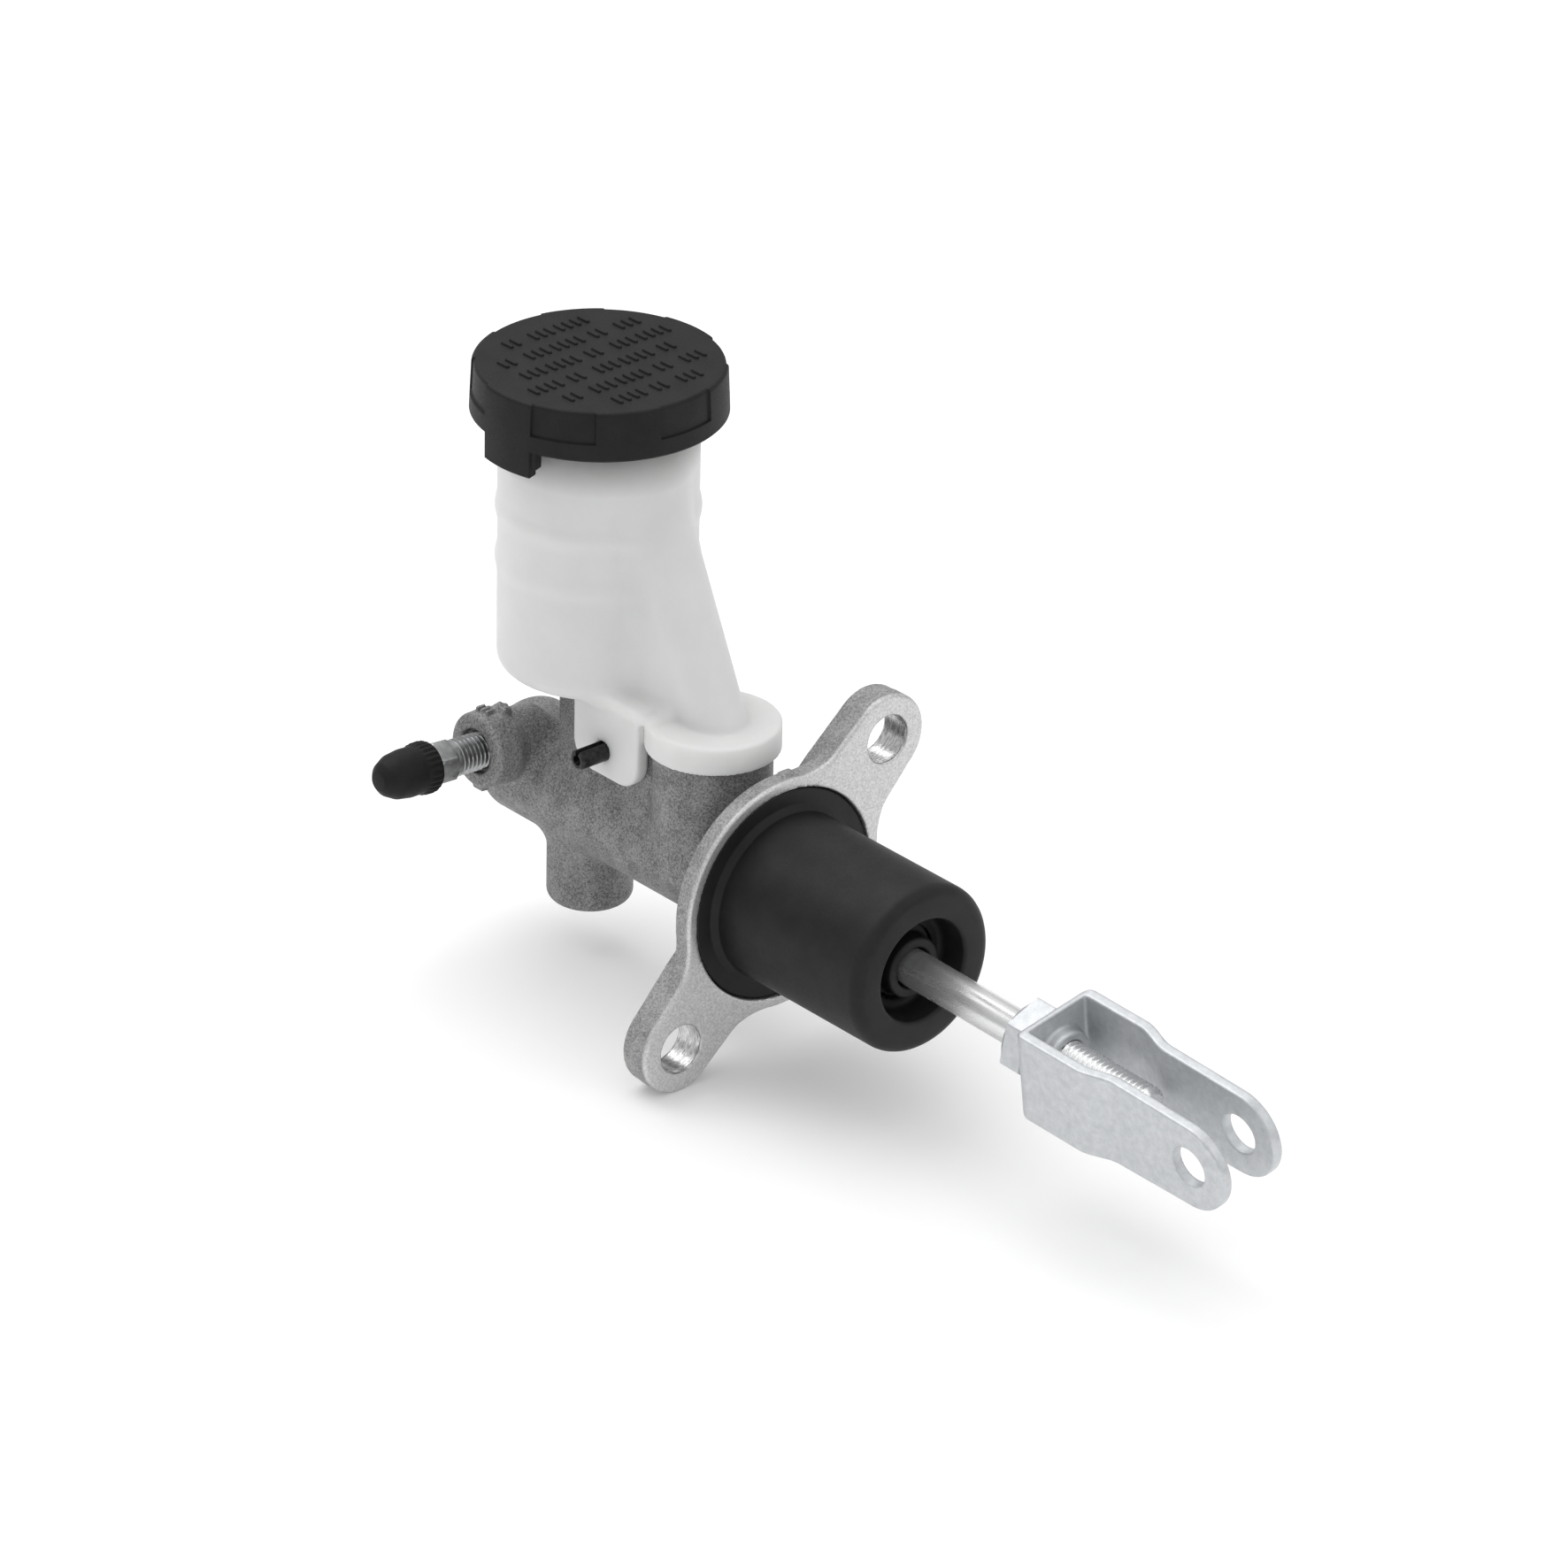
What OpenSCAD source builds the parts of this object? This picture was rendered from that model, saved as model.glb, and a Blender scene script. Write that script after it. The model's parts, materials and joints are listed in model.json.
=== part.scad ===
// Brake master cylinder with its own reservoir, in millimetres.
// Origin: centre of the mounting flange's front face, on the bore axis.
// +X runs along the bore towards the clevis, +Z up to the reservoir cap,
// and the bleed screw points along -Y.

/* [Casting] */
// Radius of the cast barrel
barrel_r = 11.7; // [11.5:0.1:12.5]
// Length of the barrel behind the flange face
barrel_len = 79; // [78:0.5:82]
// Radius of the round mounting flange
flange_r = 23.9; // [23.5:0.1:25]
// Thickness of the flange disc
flange_t = 4; // [3.6:0.1:5]
// Thickness of the two bolt ears
ear_t = 6.6; // [6:0.1:8]
// Radius of an ear's round tip
ear_r = 8.95; // [8.5:0.05:9.5]
// Diameter of the circle through the two bolt holes
bolt_pcd = 70.9; // [69:0.1:73]
// Diameter of each bolt hole
bolt_hole_d = 9.9; // [8.4:0.1:10.4]
// Direction of the upper ear, from the side towards the top
ear_angle = 44.3; // [42:0.1:47]
// Radius of the nose that the boot covers
nose_r = 14.8; // [14.4:0.1:14.9]
// Length of the nose in front of the flange
nose_len = 31; // [30:0.5:31]

/* [Bore and ports] */
// Diameter of the honed bore
bore_d = 15.88; // [15.5:0.01:16]
// Distance from the flange face to the reservoir inlet
inlet_x = -21.2; // [-22:0.1:-20.5]
// Radius of the inlet boss
inlet_boss_r = 11.55; // [11:0.05:12]
// Distance from the flange face to the outlet port
outlet_x = -57; // [-58:0.1:-56]
// Radius of the outlet boss
outlet_boss_r = 8.5; // [8:0.1:9]
// Depth of the outlet boss's end below the bore axis
outlet_drop = 24; // [22:0.5:26]
// Wall radius of the tapped outlet hole
outlet_hole_r = 4.5; // [4.3:0.05:4.6]

/* [Reservoir and cap] */
// Distance from the flange face to the reservoir's axis
reservoir_x = -55.6; // [-56:0.1:-55]
// Outer radius of the reservoir
reservoir_r = 19.35; // [19:0.05:19.8]
// Height of the reservoir's floor above the bore axis
reservoir_bottom = 27.7; // [27.2:0.1:28.2]
// Height of the reservoir's rim above the bore axis
reservoir_top = 87.2; // [86:0.1:88]
// Height of the cap above the reservoir's thread
cap_h = 9.95; // [9.6:0.05:10.5]
// Outer radius of the cap at its lower rim
cap_r = 24.8; // [24.5:0.05:25.2]
// Turn of the cap's grip pads about its axis
cap_turn = 48; // [30:1:60]

/* [Push rod and clevis] */
// Diameter of the push rod's plain shank
rod_d = 7.3; // [7:0.05:7.5]
// Droop of the free push rod
rod_sag = 2.73; // [2.4:0.01:2.8]
// Sideways lean of the free push rod
rod_yaw = 1.48; // [1:0.01:1.6]
// Distance from the rod's ball centre to the clevis pin hole
eye_reach = 96.6; // [94:0.1:100]
// Roll of the clevis about the rod
clevis_roll = 10; // [0:1:20]
// Diameter of the clevis pin hole
pin_hole_d = 8.1; // [8:0.05:8.4]
// Thickness of the clevis sheet
clevis_t = 2.3; // [2:0.1:2.5]

/* [Hidden] */
$fn = 64;
cut = 0.5;                       // overrun of every cutting tool
snug = 0.05;                     // clearance of a close fit

// casting
barrel_end_r = 4;
ear_root = 12;
ear_root_w = 9.7;
ear_fillet_r = 5;
fillet_bite = 0.06;              // how far a fillet's arc dips under the disc's rim
fillet_reach = flange_r + ear_fillet_r - fillet_bite;
fillet_rise = ear_root_w + ear_fillet_r;
fillet_c = [sqrt(pow(fillet_reach, 2) - pow(fillet_rise, 2)), fillet_rise];
rim_recess_r = 21.75;
rim_recess_depth = 2.4;
nose_chamfer = 1;
nose_root = -3.2;                // inside the web behind the rim recess
bore_r = bore_d / 2;
bore_end = -72;
counterbore_r = 10.2;
washer_x = 24.6;
circlip_x = 26.3;
circlip_t = 1.2;
circlip_groove_r = 11;
circlip_w = 2.4;
circlip_gap = 8;                 // half the width of the open side, where it leaves the ring
circlip_open_y = -20;            // the open side's wedge reaches well past the ring
circlip_eye = [4.6, -7.4];
circlip_eye_r = 1.9;
circlip_eye_hole_r = 0.8;

// inlet and outlet
inlet_top = 23.2;
inlet_cup_r = 9;
inlet_cup_floor = 12;
supply_x = -16;
supply_r = 1.5;
relief_x = -27.2;
relief_r = 0.4;
outlet_edge_r = 2.5;
outlet_hole_top = -13.5;
outlet_relief_r = 4.8;           // wider bottom of the tapped hole, round the seat's cone
outlet_relief_h = 2.1;
seat_r = 3.2;
seat_top = -9.6;
seat_cone_h = 1.8;
seat_tip_r = 1.5;
seat_drill_r = 0.9;
outlet_drill_r = 1.5;

// bleed screw, along its own axis, zero at the boss face, positive outwards
bleed_pos = [-69, -19.3, 9];
bleed_tilt = 3;
bleed_boss_r = 7.6;
bleed_boss_waist = 6.4;
bleed_boss_chamfer = [2, 1.8];
bleed_boss_head = -3.6;
bleed_boss_neck = -9;
bleed_boss_root = -12;
bleed_hole_r = 3.75;
bleed_hole_depth = 10;
bleed_seat_h = 2.5;
bleed_drill_r = 1.2;
bleed_drill_depth = 20;
bleed_seat_overlap = 0.01;
bleed_link_h = 3;                // joins the bleed drilling to the bore
bleed_thread_r = 3.7;
bleed_thread_out = 5.9;
bleed_point_h = 1.8;
bleed_point_r = [1.4, 3];
bleed_neck_r = 3.6;
bleed_hex_start = 6.9;
bleed_hex_end = 11.2;
bleed_hex_af = 8;
bleed_hex_cone_r = [4.1, 6];
bleed_way_r = 1;
bleed_cross_r = 0.8;
bleed_cross_len = 10;
bleed_cross_rise = 3;
nipple_r = 2.5;
nipple_end = 20.5;
nipple_barb_h = 4;
nipple_barb_r = [3.2, 2.4];
bleed_cap_start = 11.5;
bleed_cap_end = 24.1;
bleed_cap_r = 4.6;
bleed_collar_r = 5.2;
bleed_collar_h = 3.4;
bleed_cap_hole_r = 3.35;

// reservoir lug and pin
lug_x = [-57.5, -31];
lug_half_w = 8;
lug_top = 25.6;
lug_step_gap = 0.35;             // clearance under and beside the reservoir's foot ring
pin_pos = [-40.6, 17.8];
pin_r = 2;
pin_wall = 0.75;
pin_slot = 0.7;
pin_span = [-17.5, 11.1];
tab_gap = 8.2;
tab_t = 2.9;
tab_x = [-49.3, -30.4];
tab_bottom = 12.4;
tab_corner_r = 5.5;

// reservoir
wall = 2.2;
floor_edge_r = 3;
rib_r = 4;
rib_rise = 0.45;
rib_z = [50.7, 61.5];
thread_band_r = 20.9;
thread_band_z = [83.2, 86.4];
ring_r = 13.1;
ring_top = 28.9;
ring_edge_r = 0.6;
duct_r = 6.6;
duct_low = [-21.3, 28.85];
duct_high = [-46.6, 77];
duct_bore_r = 4.4;
duct_slot_w = 8;
spigot_r = 5.6;
spigot_bore_r = 3.8;
spigot_bottom = 14.5;
grommet_z = [13, 22.8];

// cap and diaphragm
cap_top = reservoir_top + 4.15;
cap_bottom = cap_top - cap_h;
cap_plate_t = 2.6;
cap_draft = 0.4;
cap_chamfer = 0.8;
cap_inner_r = 21.4;
cap_tab_r = cap_r - 0.1;         // the tab and hook stand just inside the rim's surface
pad_angle = 30;
pad_depth = 0.45;
pad_h = 6.4;
tab_drop = 5.3;
tab_inner_r = 22.3;
hook_angle = 3.5;
hook_drop = 3.4;
bar_rise = 0.4;
bar_w = 1.3;
bar_pitch = 6.4;                 // between rows
bar_step = 7.4;                  // along a row
bar_stagger = 1.1;
bar_len = [4.2, 1.3];            // shortest bar, and what each longer one adds
bar_margin = 4;
diaphragm_z = reservoir_top + 0.1;
diaphragm_t = 1.3;
diaphragm_r = 20.6;
bellows_r = 15.5;
bellows_depth = 7;
bellows_t = 1;

// piston group
piston_clear = 0.04;
piston_r = bore_r - piston_clear;
piston_tail = 24.5;
piston_head = [-21.4, -18.4];
piston_waist_r = 5.2;
piston_rear_land = 9;
secondary_groove = [10.9, 14.7];
groove_r = 5.4;
primary_x = [-26.4, -21.9];
cup_washer_t = 0.4;
cup_washer_gap = 0.02;
cup_washer_inset = 0.6;
cup_wall = 1.6;
cup_web = 2.6;
cup_groove = [0.9, 2];
spring_seat_x = -28.2;
spring_seat_rim = [1.2, bore_r - 1];
spring_seat_boss_r = 3.6;
spring_wire_r = 0.7;
spring_r = 5.9;
spring_turns = 9;
ring_steps = 20;
wire_sides = 8;

// push rod, lock nut and clevis, along the rod from its ball centre
ball_x = 20;
ball_r = 5;
ball_clear = snug;
washer_hole_r = 4.5;
washer_t = 1.5;
rod_r = rod_d / 2;
thread_r = 3.9;
thread_start = 47.2;             // just inside the lock nut
rod_end = 79.5;
tapped_r = thread_r + snug;
nut_af = 14;
nut_x = [46.8, 53.1];
nut_turn = -9.3;
nut_chamfer = [1.1, 0.8];
web_x = 53.2;
base_w = 19.2;
eye_w = 15.2;
base_half_h = 9.6;
eye_r = 9;
joggle = [69.6, 78];
bend_r = 3;
collar_r = 5.6;
collar_len = 2.6;
web_chamfer = 1.5;

// dust boot
boot_r = 17;
boot_front = 39.5;
boot_edge_r = 2.2;
boot_inner_r = nose_r + snug;
boot_rim_r = 21.5;
boot_rim_x = [-2.3, -0.3];
boot_mouth_r = 10.4;
boot_web_x = [31.2, 33];
boot_lip_r = 6.15;
boot_lip_end = 36.4;
boot_lip_hole_r = 4.1;
boot_lip_shift = [0.47, -0.87];

// ---- placing helpers ----------------------------------------------------

// a solid of revolution about the bore, its profile drawn as [radius, x]
module about_bore(x = 0) translate([x, 0, 0]) rotate([0, 90, 0]) rotate_extrude() children();

// an outline drawn as [y, z], thickened along X
module slab_x(x, t) translate([x, 0, 0]) rotate([90, 0, 90]) linear_extrude(t) children();

// an outline drawn as [x, z], thickened along Y
module slab_y(y, t) translate([0, y + t, 0]) rotate([90, 0, 0]) linear_extrude(t) children();

// a plain cylinder along X between two places
module rod_along_x(x0, x1, r) translate([x0, 0, 0]) rotate([0, 90, 0]) cylinder(h = x1 - x0, r = r);

// the bleed screw's own frame: +Z runs out of the boss face
module at_bleed() translate(bleed_pos) rotate([90 - bleed_tilt, 0, 0]) children();

// the push rod's own frame: +X runs along the rod from its ball centre
module at_rod(roll = 0) translate([ball_x, 0, 0]) rotate([roll, rod_sag, rod_yaw]) children();

// a half profile, [radius, height], with its outer top edge rounded
module rounded_profile(r, h, edge) {
    square([r, h - edge]);
    square([r - edge, h]);
    translate([r - edge, h - edge]) circle(edge);
}

// a block outline with round lower corners
module tab_outline(x, bottom, top, r) {
    translate([x[0], bottom + r]) square([x[1] - x[0], top - bottom - r]);
    translate([x[0] + r, bottom]) square([x[1] - x[0] - 2 * r, r + cut]);
    for (cx = [x[0] + r, x[1] - r]) translate([cx, bottom + r]) circle(r);
}

// a hexagon of the given width across flats
module hex_prism(af, h) cylinder(h = h, r = af / sqrt(3), $fn = 6);

// ---- casting ------------------------------------------------------------

// corner between the disc and an ear; its arc dips just under the disc's rim, so that they cross cleanly
module ear_side_fillet() difference() {
    polygon([[0, 0], fillet_c, [fillet_c[0], 0]]);
    translate(fillet_c) circle(ear_fillet_r);
}

// one ear, pointing along its own first axis
module ear_outline() {
    translate([bolt_pcd / 2, 0]) circle(ear_r);
    polygon([[ear_root, -ear_root_w], [fillet_c[0], -ear_root_w], [bolt_pcd / 2, -ear_r],
             [bolt_pcd / 2, ear_r], [fillet_c[0], ear_root_w], [ear_root, ear_root_w]]);
}

// disc and ears, with the recess that holds the boot's rim
module flange() difference() {
    union() {
        slab_x(-flange_t, flange_t) {
            circle(flange_r);
            for (turn = [0, 180], side = [0, 1]) rotate(ear_angle + turn) mirror([0, side]) ear_side_fillet();
        }
        slab_x(-ear_t, ear_t) for (turn = [0, 180]) rotate(ear_angle + turn) ear_outline();
    }
    rod_along_x(-rim_recess_depth, cut, rim_recess_r);
}

module barrel() mirror([1, 0, 0]) about_bore() rounded_profile(barrel_r, barrel_len, barrel_end_r);

module nose() about_bore() polygon([
    [0, nose_root], [nose_r, nose_root], [nose_r, nose_len - nose_chamfer],
    [nose_r - nose_chamfer, nose_len], [0, nose_len]]);

module outlet_boss() translate([outlet_x, 0, 0]) mirror([0, 0, 1])
    rotate_extrude() rounded_profile(outlet_boss_r, outlet_drop, outlet_edge_r);

// the boss narrows behind a chamfered head and ends in a dome inside the barrel
module bleed_boss() at_bleed() rotate_extrude() {
    polygon([[0, 0], [bleed_boss_r - bleed_boss_chamfer[0], 0], [bleed_boss_r, -bleed_boss_chamfer[1]],
        [bleed_boss_r, bleed_boss_head], [bleed_boss_waist, bleed_boss_neck],
        [bleed_boss_waist, bleed_boss_root], [0, bleed_boss_root]]);
    intersection() {
        translate([0, bleed_boss_root]) circle(bleed_boss_waist);
        translate([0, bleed_boss_root - barrel_r]) square(barrel_r);
    }
}

// the lug steps down where the reservoir's foot ring passes over it
module reservoir_lug() slab_y(-lug_half_w, 2 * lug_half_w) {
    translate([lug_x[0], 0]) square([inlet_x - ring_r - lug_step_gap - lug_x[0], lug_top]);
    translate([lug_x[0], 0]) square([lug_x[1] - lug_x[0], inlet_top - lug_step_gap]);
}

module bore_cuts() {
    rod_along_x(bore_end, nose_len + cut, bore_r);
    rod_along_x(piston_tail, nose_len + cut, counterbore_r);
    rod_along_x(circlip_x - snug, circlip_x + circlip_t + snug, circlip_groove_r);
}

module bolt_holes() for (turn = [0, 180]) rotate([ear_angle + turn, 0, 0])
    translate([-ear_t - cut, bolt_pcd / 2, 0]) rotate([0, 90, 0])
        cylinder(h = ear_t + 2 * cut, d = bolt_hole_d);

module inlet_cuts() {
    translate([inlet_x, 0, inlet_cup_floor]) cylinder(h = inlet_top, r = inlet_cup_r);
    translate([supply_x, 0, 0]) cylinder(h = inlet_cup_floor + cut, r = supply_r);
    translate([relief_x, 0, 0]) cylinder(h = inlet_cup_floor + cut, r = relief_r);
}

module outlet_cuts() translate([outlet_x, 0, 0]) {
    translate([0, 0, -outlet_drop - cut]) cylinder(h = outlet_drop + cut + outlet_hole_top, r = outlet_hole_r);
    translate([0, 0, outlet_hole_top - outlet_relief_h]) cylinder(h = outlet_relief_h, r = outlet_relief_r);
    translate([0, 0, outlet_hole_top - cut]) cylinder(h = seat_top - outlet_hole_top + cut, r = seat_r);
    translate([0, 0, seat_top - cut]) cylinder(h = -seat_top, r = outlet_drill_r);
}

module bleed_cuts() {
    at_bleed() translate([0, 0, -bleed_hole_depth]) cylinder(h = bleed_hole_depth + cut, r = bleed_hole_r);
    at_bleed() translate([0, 0, -bleed_hole_depth - bleed_seat_h])
        cylinder(h = bleed_seat_h + bleed_seat_overlap, r1 = bleed_drill_r, r2 = bleed_hole_r);
    at_bleed() translate([0, 0, -bleed_drill_depth])
        cylinder(h = bleed_drill_depth - bleed_hole_depth, r = bleed_drill_r);
    translate([bleed_pos[0], -bleed_link_h, bore_r - bleed_link_h])
        cylinder(h = bleed_link_h, r = bleed_drill_r);
}

module cylinder_body() color("#a4a6a8") difference() {
    union() {
        barrel();
        flange();
        nose();
        translate([inlet_x, 0, 0]) cylinder(h = inlet_top, r = inlet_boss_r);
        outlet_boss();
        bleed_boss();
        reservoir_lug();
    }
    bore_cuts();
    bolt_holes();
    inlet_cuts();
    outlet_cuts();
    bleed_cuts();
    slab_y(-lug_half_w - cut, 2 * (lug_half_w + cut)) translate(pin_pos) circle(pin_r);
}

// cone that the brake pipe's flare seals on
module outlet_seat() color("#b9974c") translate([outlet_x, 0, 0]) difference() {
    union() {
        translate([0, 0, outlet_hole_top]) cylinder(h = seat_top - outlet_hole_top, r = seat_r);
        translate([0, 0, outlet_hole_top - seat_cone_h])
            cylinder(h = seat_cone_h, r1 = seat_tip_r, r2 = seat_r);
    }
    translate([0, 0, outlet_hole_top - seat_cone_h - cut])
        cylinder(h = seat_top - outlet_hole_top + seat_cone_h + 2 * cut, r = seat_drill_r);
}

// ---- bleed screw --------------------------------------------------------

module bleed_screw() color("#c9ccd0") at_bleed() difference() {
    union() {
        translate([0, 0, -bleed_hole_depth])
            cylinder(h = bleed_hole_depth + bleed_thread_out, r = bleed_thread_r);
        translate([0, 0, -bleed_hole_depth - bleed_point_h])
            cylinder(h = bleed_point_h, r1 = bleed_point_r[0], r2 = bleed_point_r[1]);
        translate([0, 0, bleed_thread_out]) cylinder(h = bleed_hex_start - bleed_thread_out, r = bleed_neck_r);
        translate([0, 0, bleed_hex_start]) intersection() {
            hex_prism(bleed_hex_af, bleed_hex_end - bleed_hex_start);
            cylinder(h = bleed_hex_end - bleed_hex_start, r1 = bleed_hex_cone_r[0], r2 = bleed_hex_cone_r[1]);
        }
        translate([0, 0, bleed_hex_end]) cylinder(h = nipple_end - bleed_hex_end, r = nipple_r);
        translate([0, 0, nipple_end - nipple_barb_h])
            cylinder(h = nipple_barb_h, r1 = nipple_barb_r[0], r2 = nipple_barb_r[1]);
    }
    translate([0, 0, bleed_cross_rise - bleed_hole_depth - 1])
        cylinder(h = nipple_end + bleed_hole_depth, r = bleed_way_r);
    translate([0, bleed_cross_len / 2, bleed_cross_rise - bleed_hole_depth]) rotate([90, 0, 0])
        cylinder(h = bleed_cross_len, r = bleed_cross_r);
}

// rubber cap over the nipple, with a collar and a domed end
module bleed_cap() color("#1c1c1e") at_bleed() rotate_extrude() difference() {
    union() {
        translate([0, bleed_cap_start]) square([bleed_collar_r, bleed_collar_h]);
        translate([0, bleed_cap_start]) square([bleed_cap_r, bleed_cap_end - bleed_cap_r - bleed_cap_start]);
        intersection() {
            translate([0, bleed_cap_end - bleed_cap_r]) circle(bleed_cap_r);
            translate([0, bleed_cap_start]) square(bleed_cap_end - bleed_cap_start);
        }
    }
    translate([0, bleed_cap_start - cut]) square([bleed_cap_hole_r, nipple_end - bleed_cap_start + 1]);
}

// ---- reservoir ----------------------------------------------------------

module inlet_grommet() color("#222224") translate([inlet_x, 0, 0]) difference() {
    translate([0, 0, grommet_z[0]]) cylinder(h = grommet_z[1] - grommet_z[0], r = inlet_cup_r);
    cylinder(h = inlet_top + cut, r = spigot_r);
}

module reservoir_shell() translate([reservoir_x, 0, 0]) rotate_extrude() {
    translate([0, reservoir_bottom]) mirror([0, 1]) translate([0, reservoir_bottom - reservoir_top])
        rounded_profile(reservoir_r, reservoir_top - reservoir_bottom, floor_edge_r);
    for (z = rib_z) translate([reservoir_r + rib_rise - rib_r, z]) circle(rib_r);
    translate([0, thread_band_z[0]]) square([thread_band_r, thread_band_z[1] - thread_band_z[0]]);
}

module between(a, b, r) {
    lean = atan2(b[0] - a[0], b[1] - a[1]);
    translate([a[0], 0, a[1]]) rotate([0, lean, 0]) cylinder(h = norm(b - a), r = r);
}

// sloping duct with a round nose, from the foot ring up to the tank wall
module duct(r, slab_w, bottom) {
    between(duct_low, duct_high, r);
    slab_y(-slab_w / 2, slab_w) polygon([duct_low, duct_high, [duct_high[0], bottom], [duct_low[0], bottom]]);
}

module foot_ring() translate([inlet_x, 0, 0]) {
    translate([0, 0, inlet_top + snug]) rotate_extrude()
        rounded_profile(ring_r, ring_top - inlet_top - snug, ring_edge_r);
    translate([0, 0, spigot_bottom]) cylinder(h = inlet_top - spigot_bottom + cut, r = spigot_r);
}

module mounting_tabs() for (y = [-tab_gap - tab_t, tab_gap]) slab_y(y, tab_t)
    tab_outline(tab_x, tab_bottom, reservoir_bottom + 3, tab_corner_r);

module reservoir() color("#f2f2ee") difference() {
    union() {
        reservoir_shell();
        duct(duct_r, 2 * duct_r, reservoir_bottom);
        translate([duct_low[0], 0, reservoir_bottom]) cylinder(h = duct_low[1] - reservoir_bottom, r = duct_r);
        foot_ring();
        mounting_tabs();
    }
    translate([reservoir_x, 0, reservoir_bottom + wall]) cylinder(h = reservoir_top, r = reservoir_r - wall);
    duct(duct_bore_r, duct_slot_w, reservoir_bottom + wall);
    translate([inlet_x, 0, spigot_bottom - cut]) cylinder(h = ring_top - spigot_bottom, r = spigot_bore_r);
    slab_y(-reservoir_r, 2 * reservoir_r) translate(pin_pos) circle(pin_r);
}

// slotted spring pin through both tabs and the lug
module reservoir_pin() color("#2a2a2c") slab_y(pin_span[0], pin_span[1] - pin_span[0])
    translate(pin_pos) difference() {
        circle(pin_r);
        circle(pin_r - pin_wall);
        translate([-pin_slot / 2, 0]) square([pin_slot, pin_r + cut]);
    }

module cap_wedge(start, sweep, inner, low, high) translate([0, 0, low]) rotate([0, 0, start])
    rotate_extrude(angle = sweep) translate([inner, 0]) square([cap_r + cut - inner, high - low]);

// plain raised bars in rows
module top_bars() for (row = [0 : 5], slot = [-2 : 2]) {
    across = (row - 2.5) * bar_pitch;
    along = slot * bar_step + bar_stagger * (row % 3 - 1);
    len = bar_len[0] + bar_len[1] * ((row + slot + 4) % 3);
    if (norm([across, along]) + len / 2 < cap_r - bar_margin)
        translate([across - bar_w / 2, along - len / 2, cap_top - cut]) cube([bar_w, len, bar_rise + cut]);
}

module reservoir_cap() color("#202022") translate([reservoir_x, 0, 0]) {
    difference() {
        translate([0, 0, cap_bottom]) rotate_extrude() polygon([
            [0, 0], [cap_r, 0], [cap_r - cap_draft, cap_h - cap_chamfer],
            [cap_r - cap_draft - cap_chamfer, cap_h], [0, cap_h]]);
        translate([0, 0, cap_bottom - cut]) cylinder(h = cap_h - cap_plate_t + cut, r = cap_inner_r);
        for (k = [0 : 5]) cap_wedge(cap_turn + 2 * k * pad_angle, pad_angle,
            cap_r - cap_draft - pad_depth, cap_top - pad_h, cap_top + cut);
    }
    intersection() {
        union() {
            cap_wedge(cap_turn + 7 * pad_angle, pad_angle, tab_inner_r, cap_bottom - tab_drop,
                cap_bottom + cut);
            cap_wedge(cap_turn + 8 * pad_angle - 0.5, hook_angle, tab_inner_r, cap_bottom - hook_drop,
                cap_bottom + cut);
        }
        cylinder(h = cap_top, r = cap_tab_r);
    }
    top_bars();
}

// rubber seal on the rim with a bellows that hangs inside
module cap_diaphragm() color("#2b2b2d") translate([reservoir_x, 0, diaphragm_z]) rotate_extrude() {
    translate([bellows_r - bellows_t, 0]) square([diaphragm_r - bellows_r + bellows_t, diaphragm_t]);
    translate([bellows_r - bellows_t, -bellows_depth]) square([bellows_t, bellows_depth + cut]);
    translate([0, -bellows_depth]) square([bellows_r, bellows_t]);
}

// ---- piston group -------------------------------------------------------

module piston() color("#b7babd") difference() {
    union() {
        rod_along_x(piston_head[0], piston_head[1], piston_r);
        rod_along_x(piston_head[0], piston_rear_land + cut, piston_waist_r);
        rod_along_x(piston_rear_land, piston_tail, piston_r);
    }
    about_bore(secondary_groove[0]) translate([groove_r, 0])
        square([piston_r, secondary_groove[1] - secondary_groove[0]]);
    translate([ball_x, 0, 0]) sphere(ball_r + ball_clear);
    rod_along_x(ball_x, piston_tail + cut, ball_r + ball_clear);
}

// seal cup with its open side towards the pressure, profile as [radius, x]
module cup_profile(len) difference() {
    square([piston_r, len]);
    translate([0, -cut]) square([piston_r - cup_wall, len - cup_web + cut]);
}

module primary_cup() color("#1b1b1d") about_bore(primary_x[0]) cup_profile(primary_x[1] - primary_x[0]);

module cup_washer() color("#c8b26a")
    rod_along_x(primary_x[1] + cup_washer_gap, primary_x[1] + cup_washer_t, piston_r - cup_washer_inset);

module secondary_cup() color("#1b1b1d") about_bore(secondary_groove[0] + 0.1) difference() {
    translate([groove_r, 0]) square([piston_r - groove_r, secondary_groove[1] - secondary_groove[0] - 0.2]);
    translate([groove_r + 0.8, -cut]) square(cup_groove);
}

// seat between the spring and the primary cup
module spring_seat() color("#e4e4df") {
    rod_along_x(spring_seat_x, primary_x[1] - cup_web - 0.1, spring_seat_boss_r);
    rod_along_x(spring_seat_x, spring_seat_x + spring_seat_rim[0], spring_seat_rim[1]);
}

function helix_point(step, r, len) = let (turn = 360 * step / ring_steps)
    [len * step / (spring_turns * ring_steps), r * cos(turn), r * sin(turn)];

function wire_ring(step, len) = let (turn = 360 * step / ring_steps, c = helix_point(step, spring_r, len))
    [for (k = [0 : wire_sides - 1]) let (a = 360 * k / wire_sides)
        c + spring_wire_r * [sin(a), cos(a) * cos(turn), cos(a) * sin(turn)]];

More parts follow.
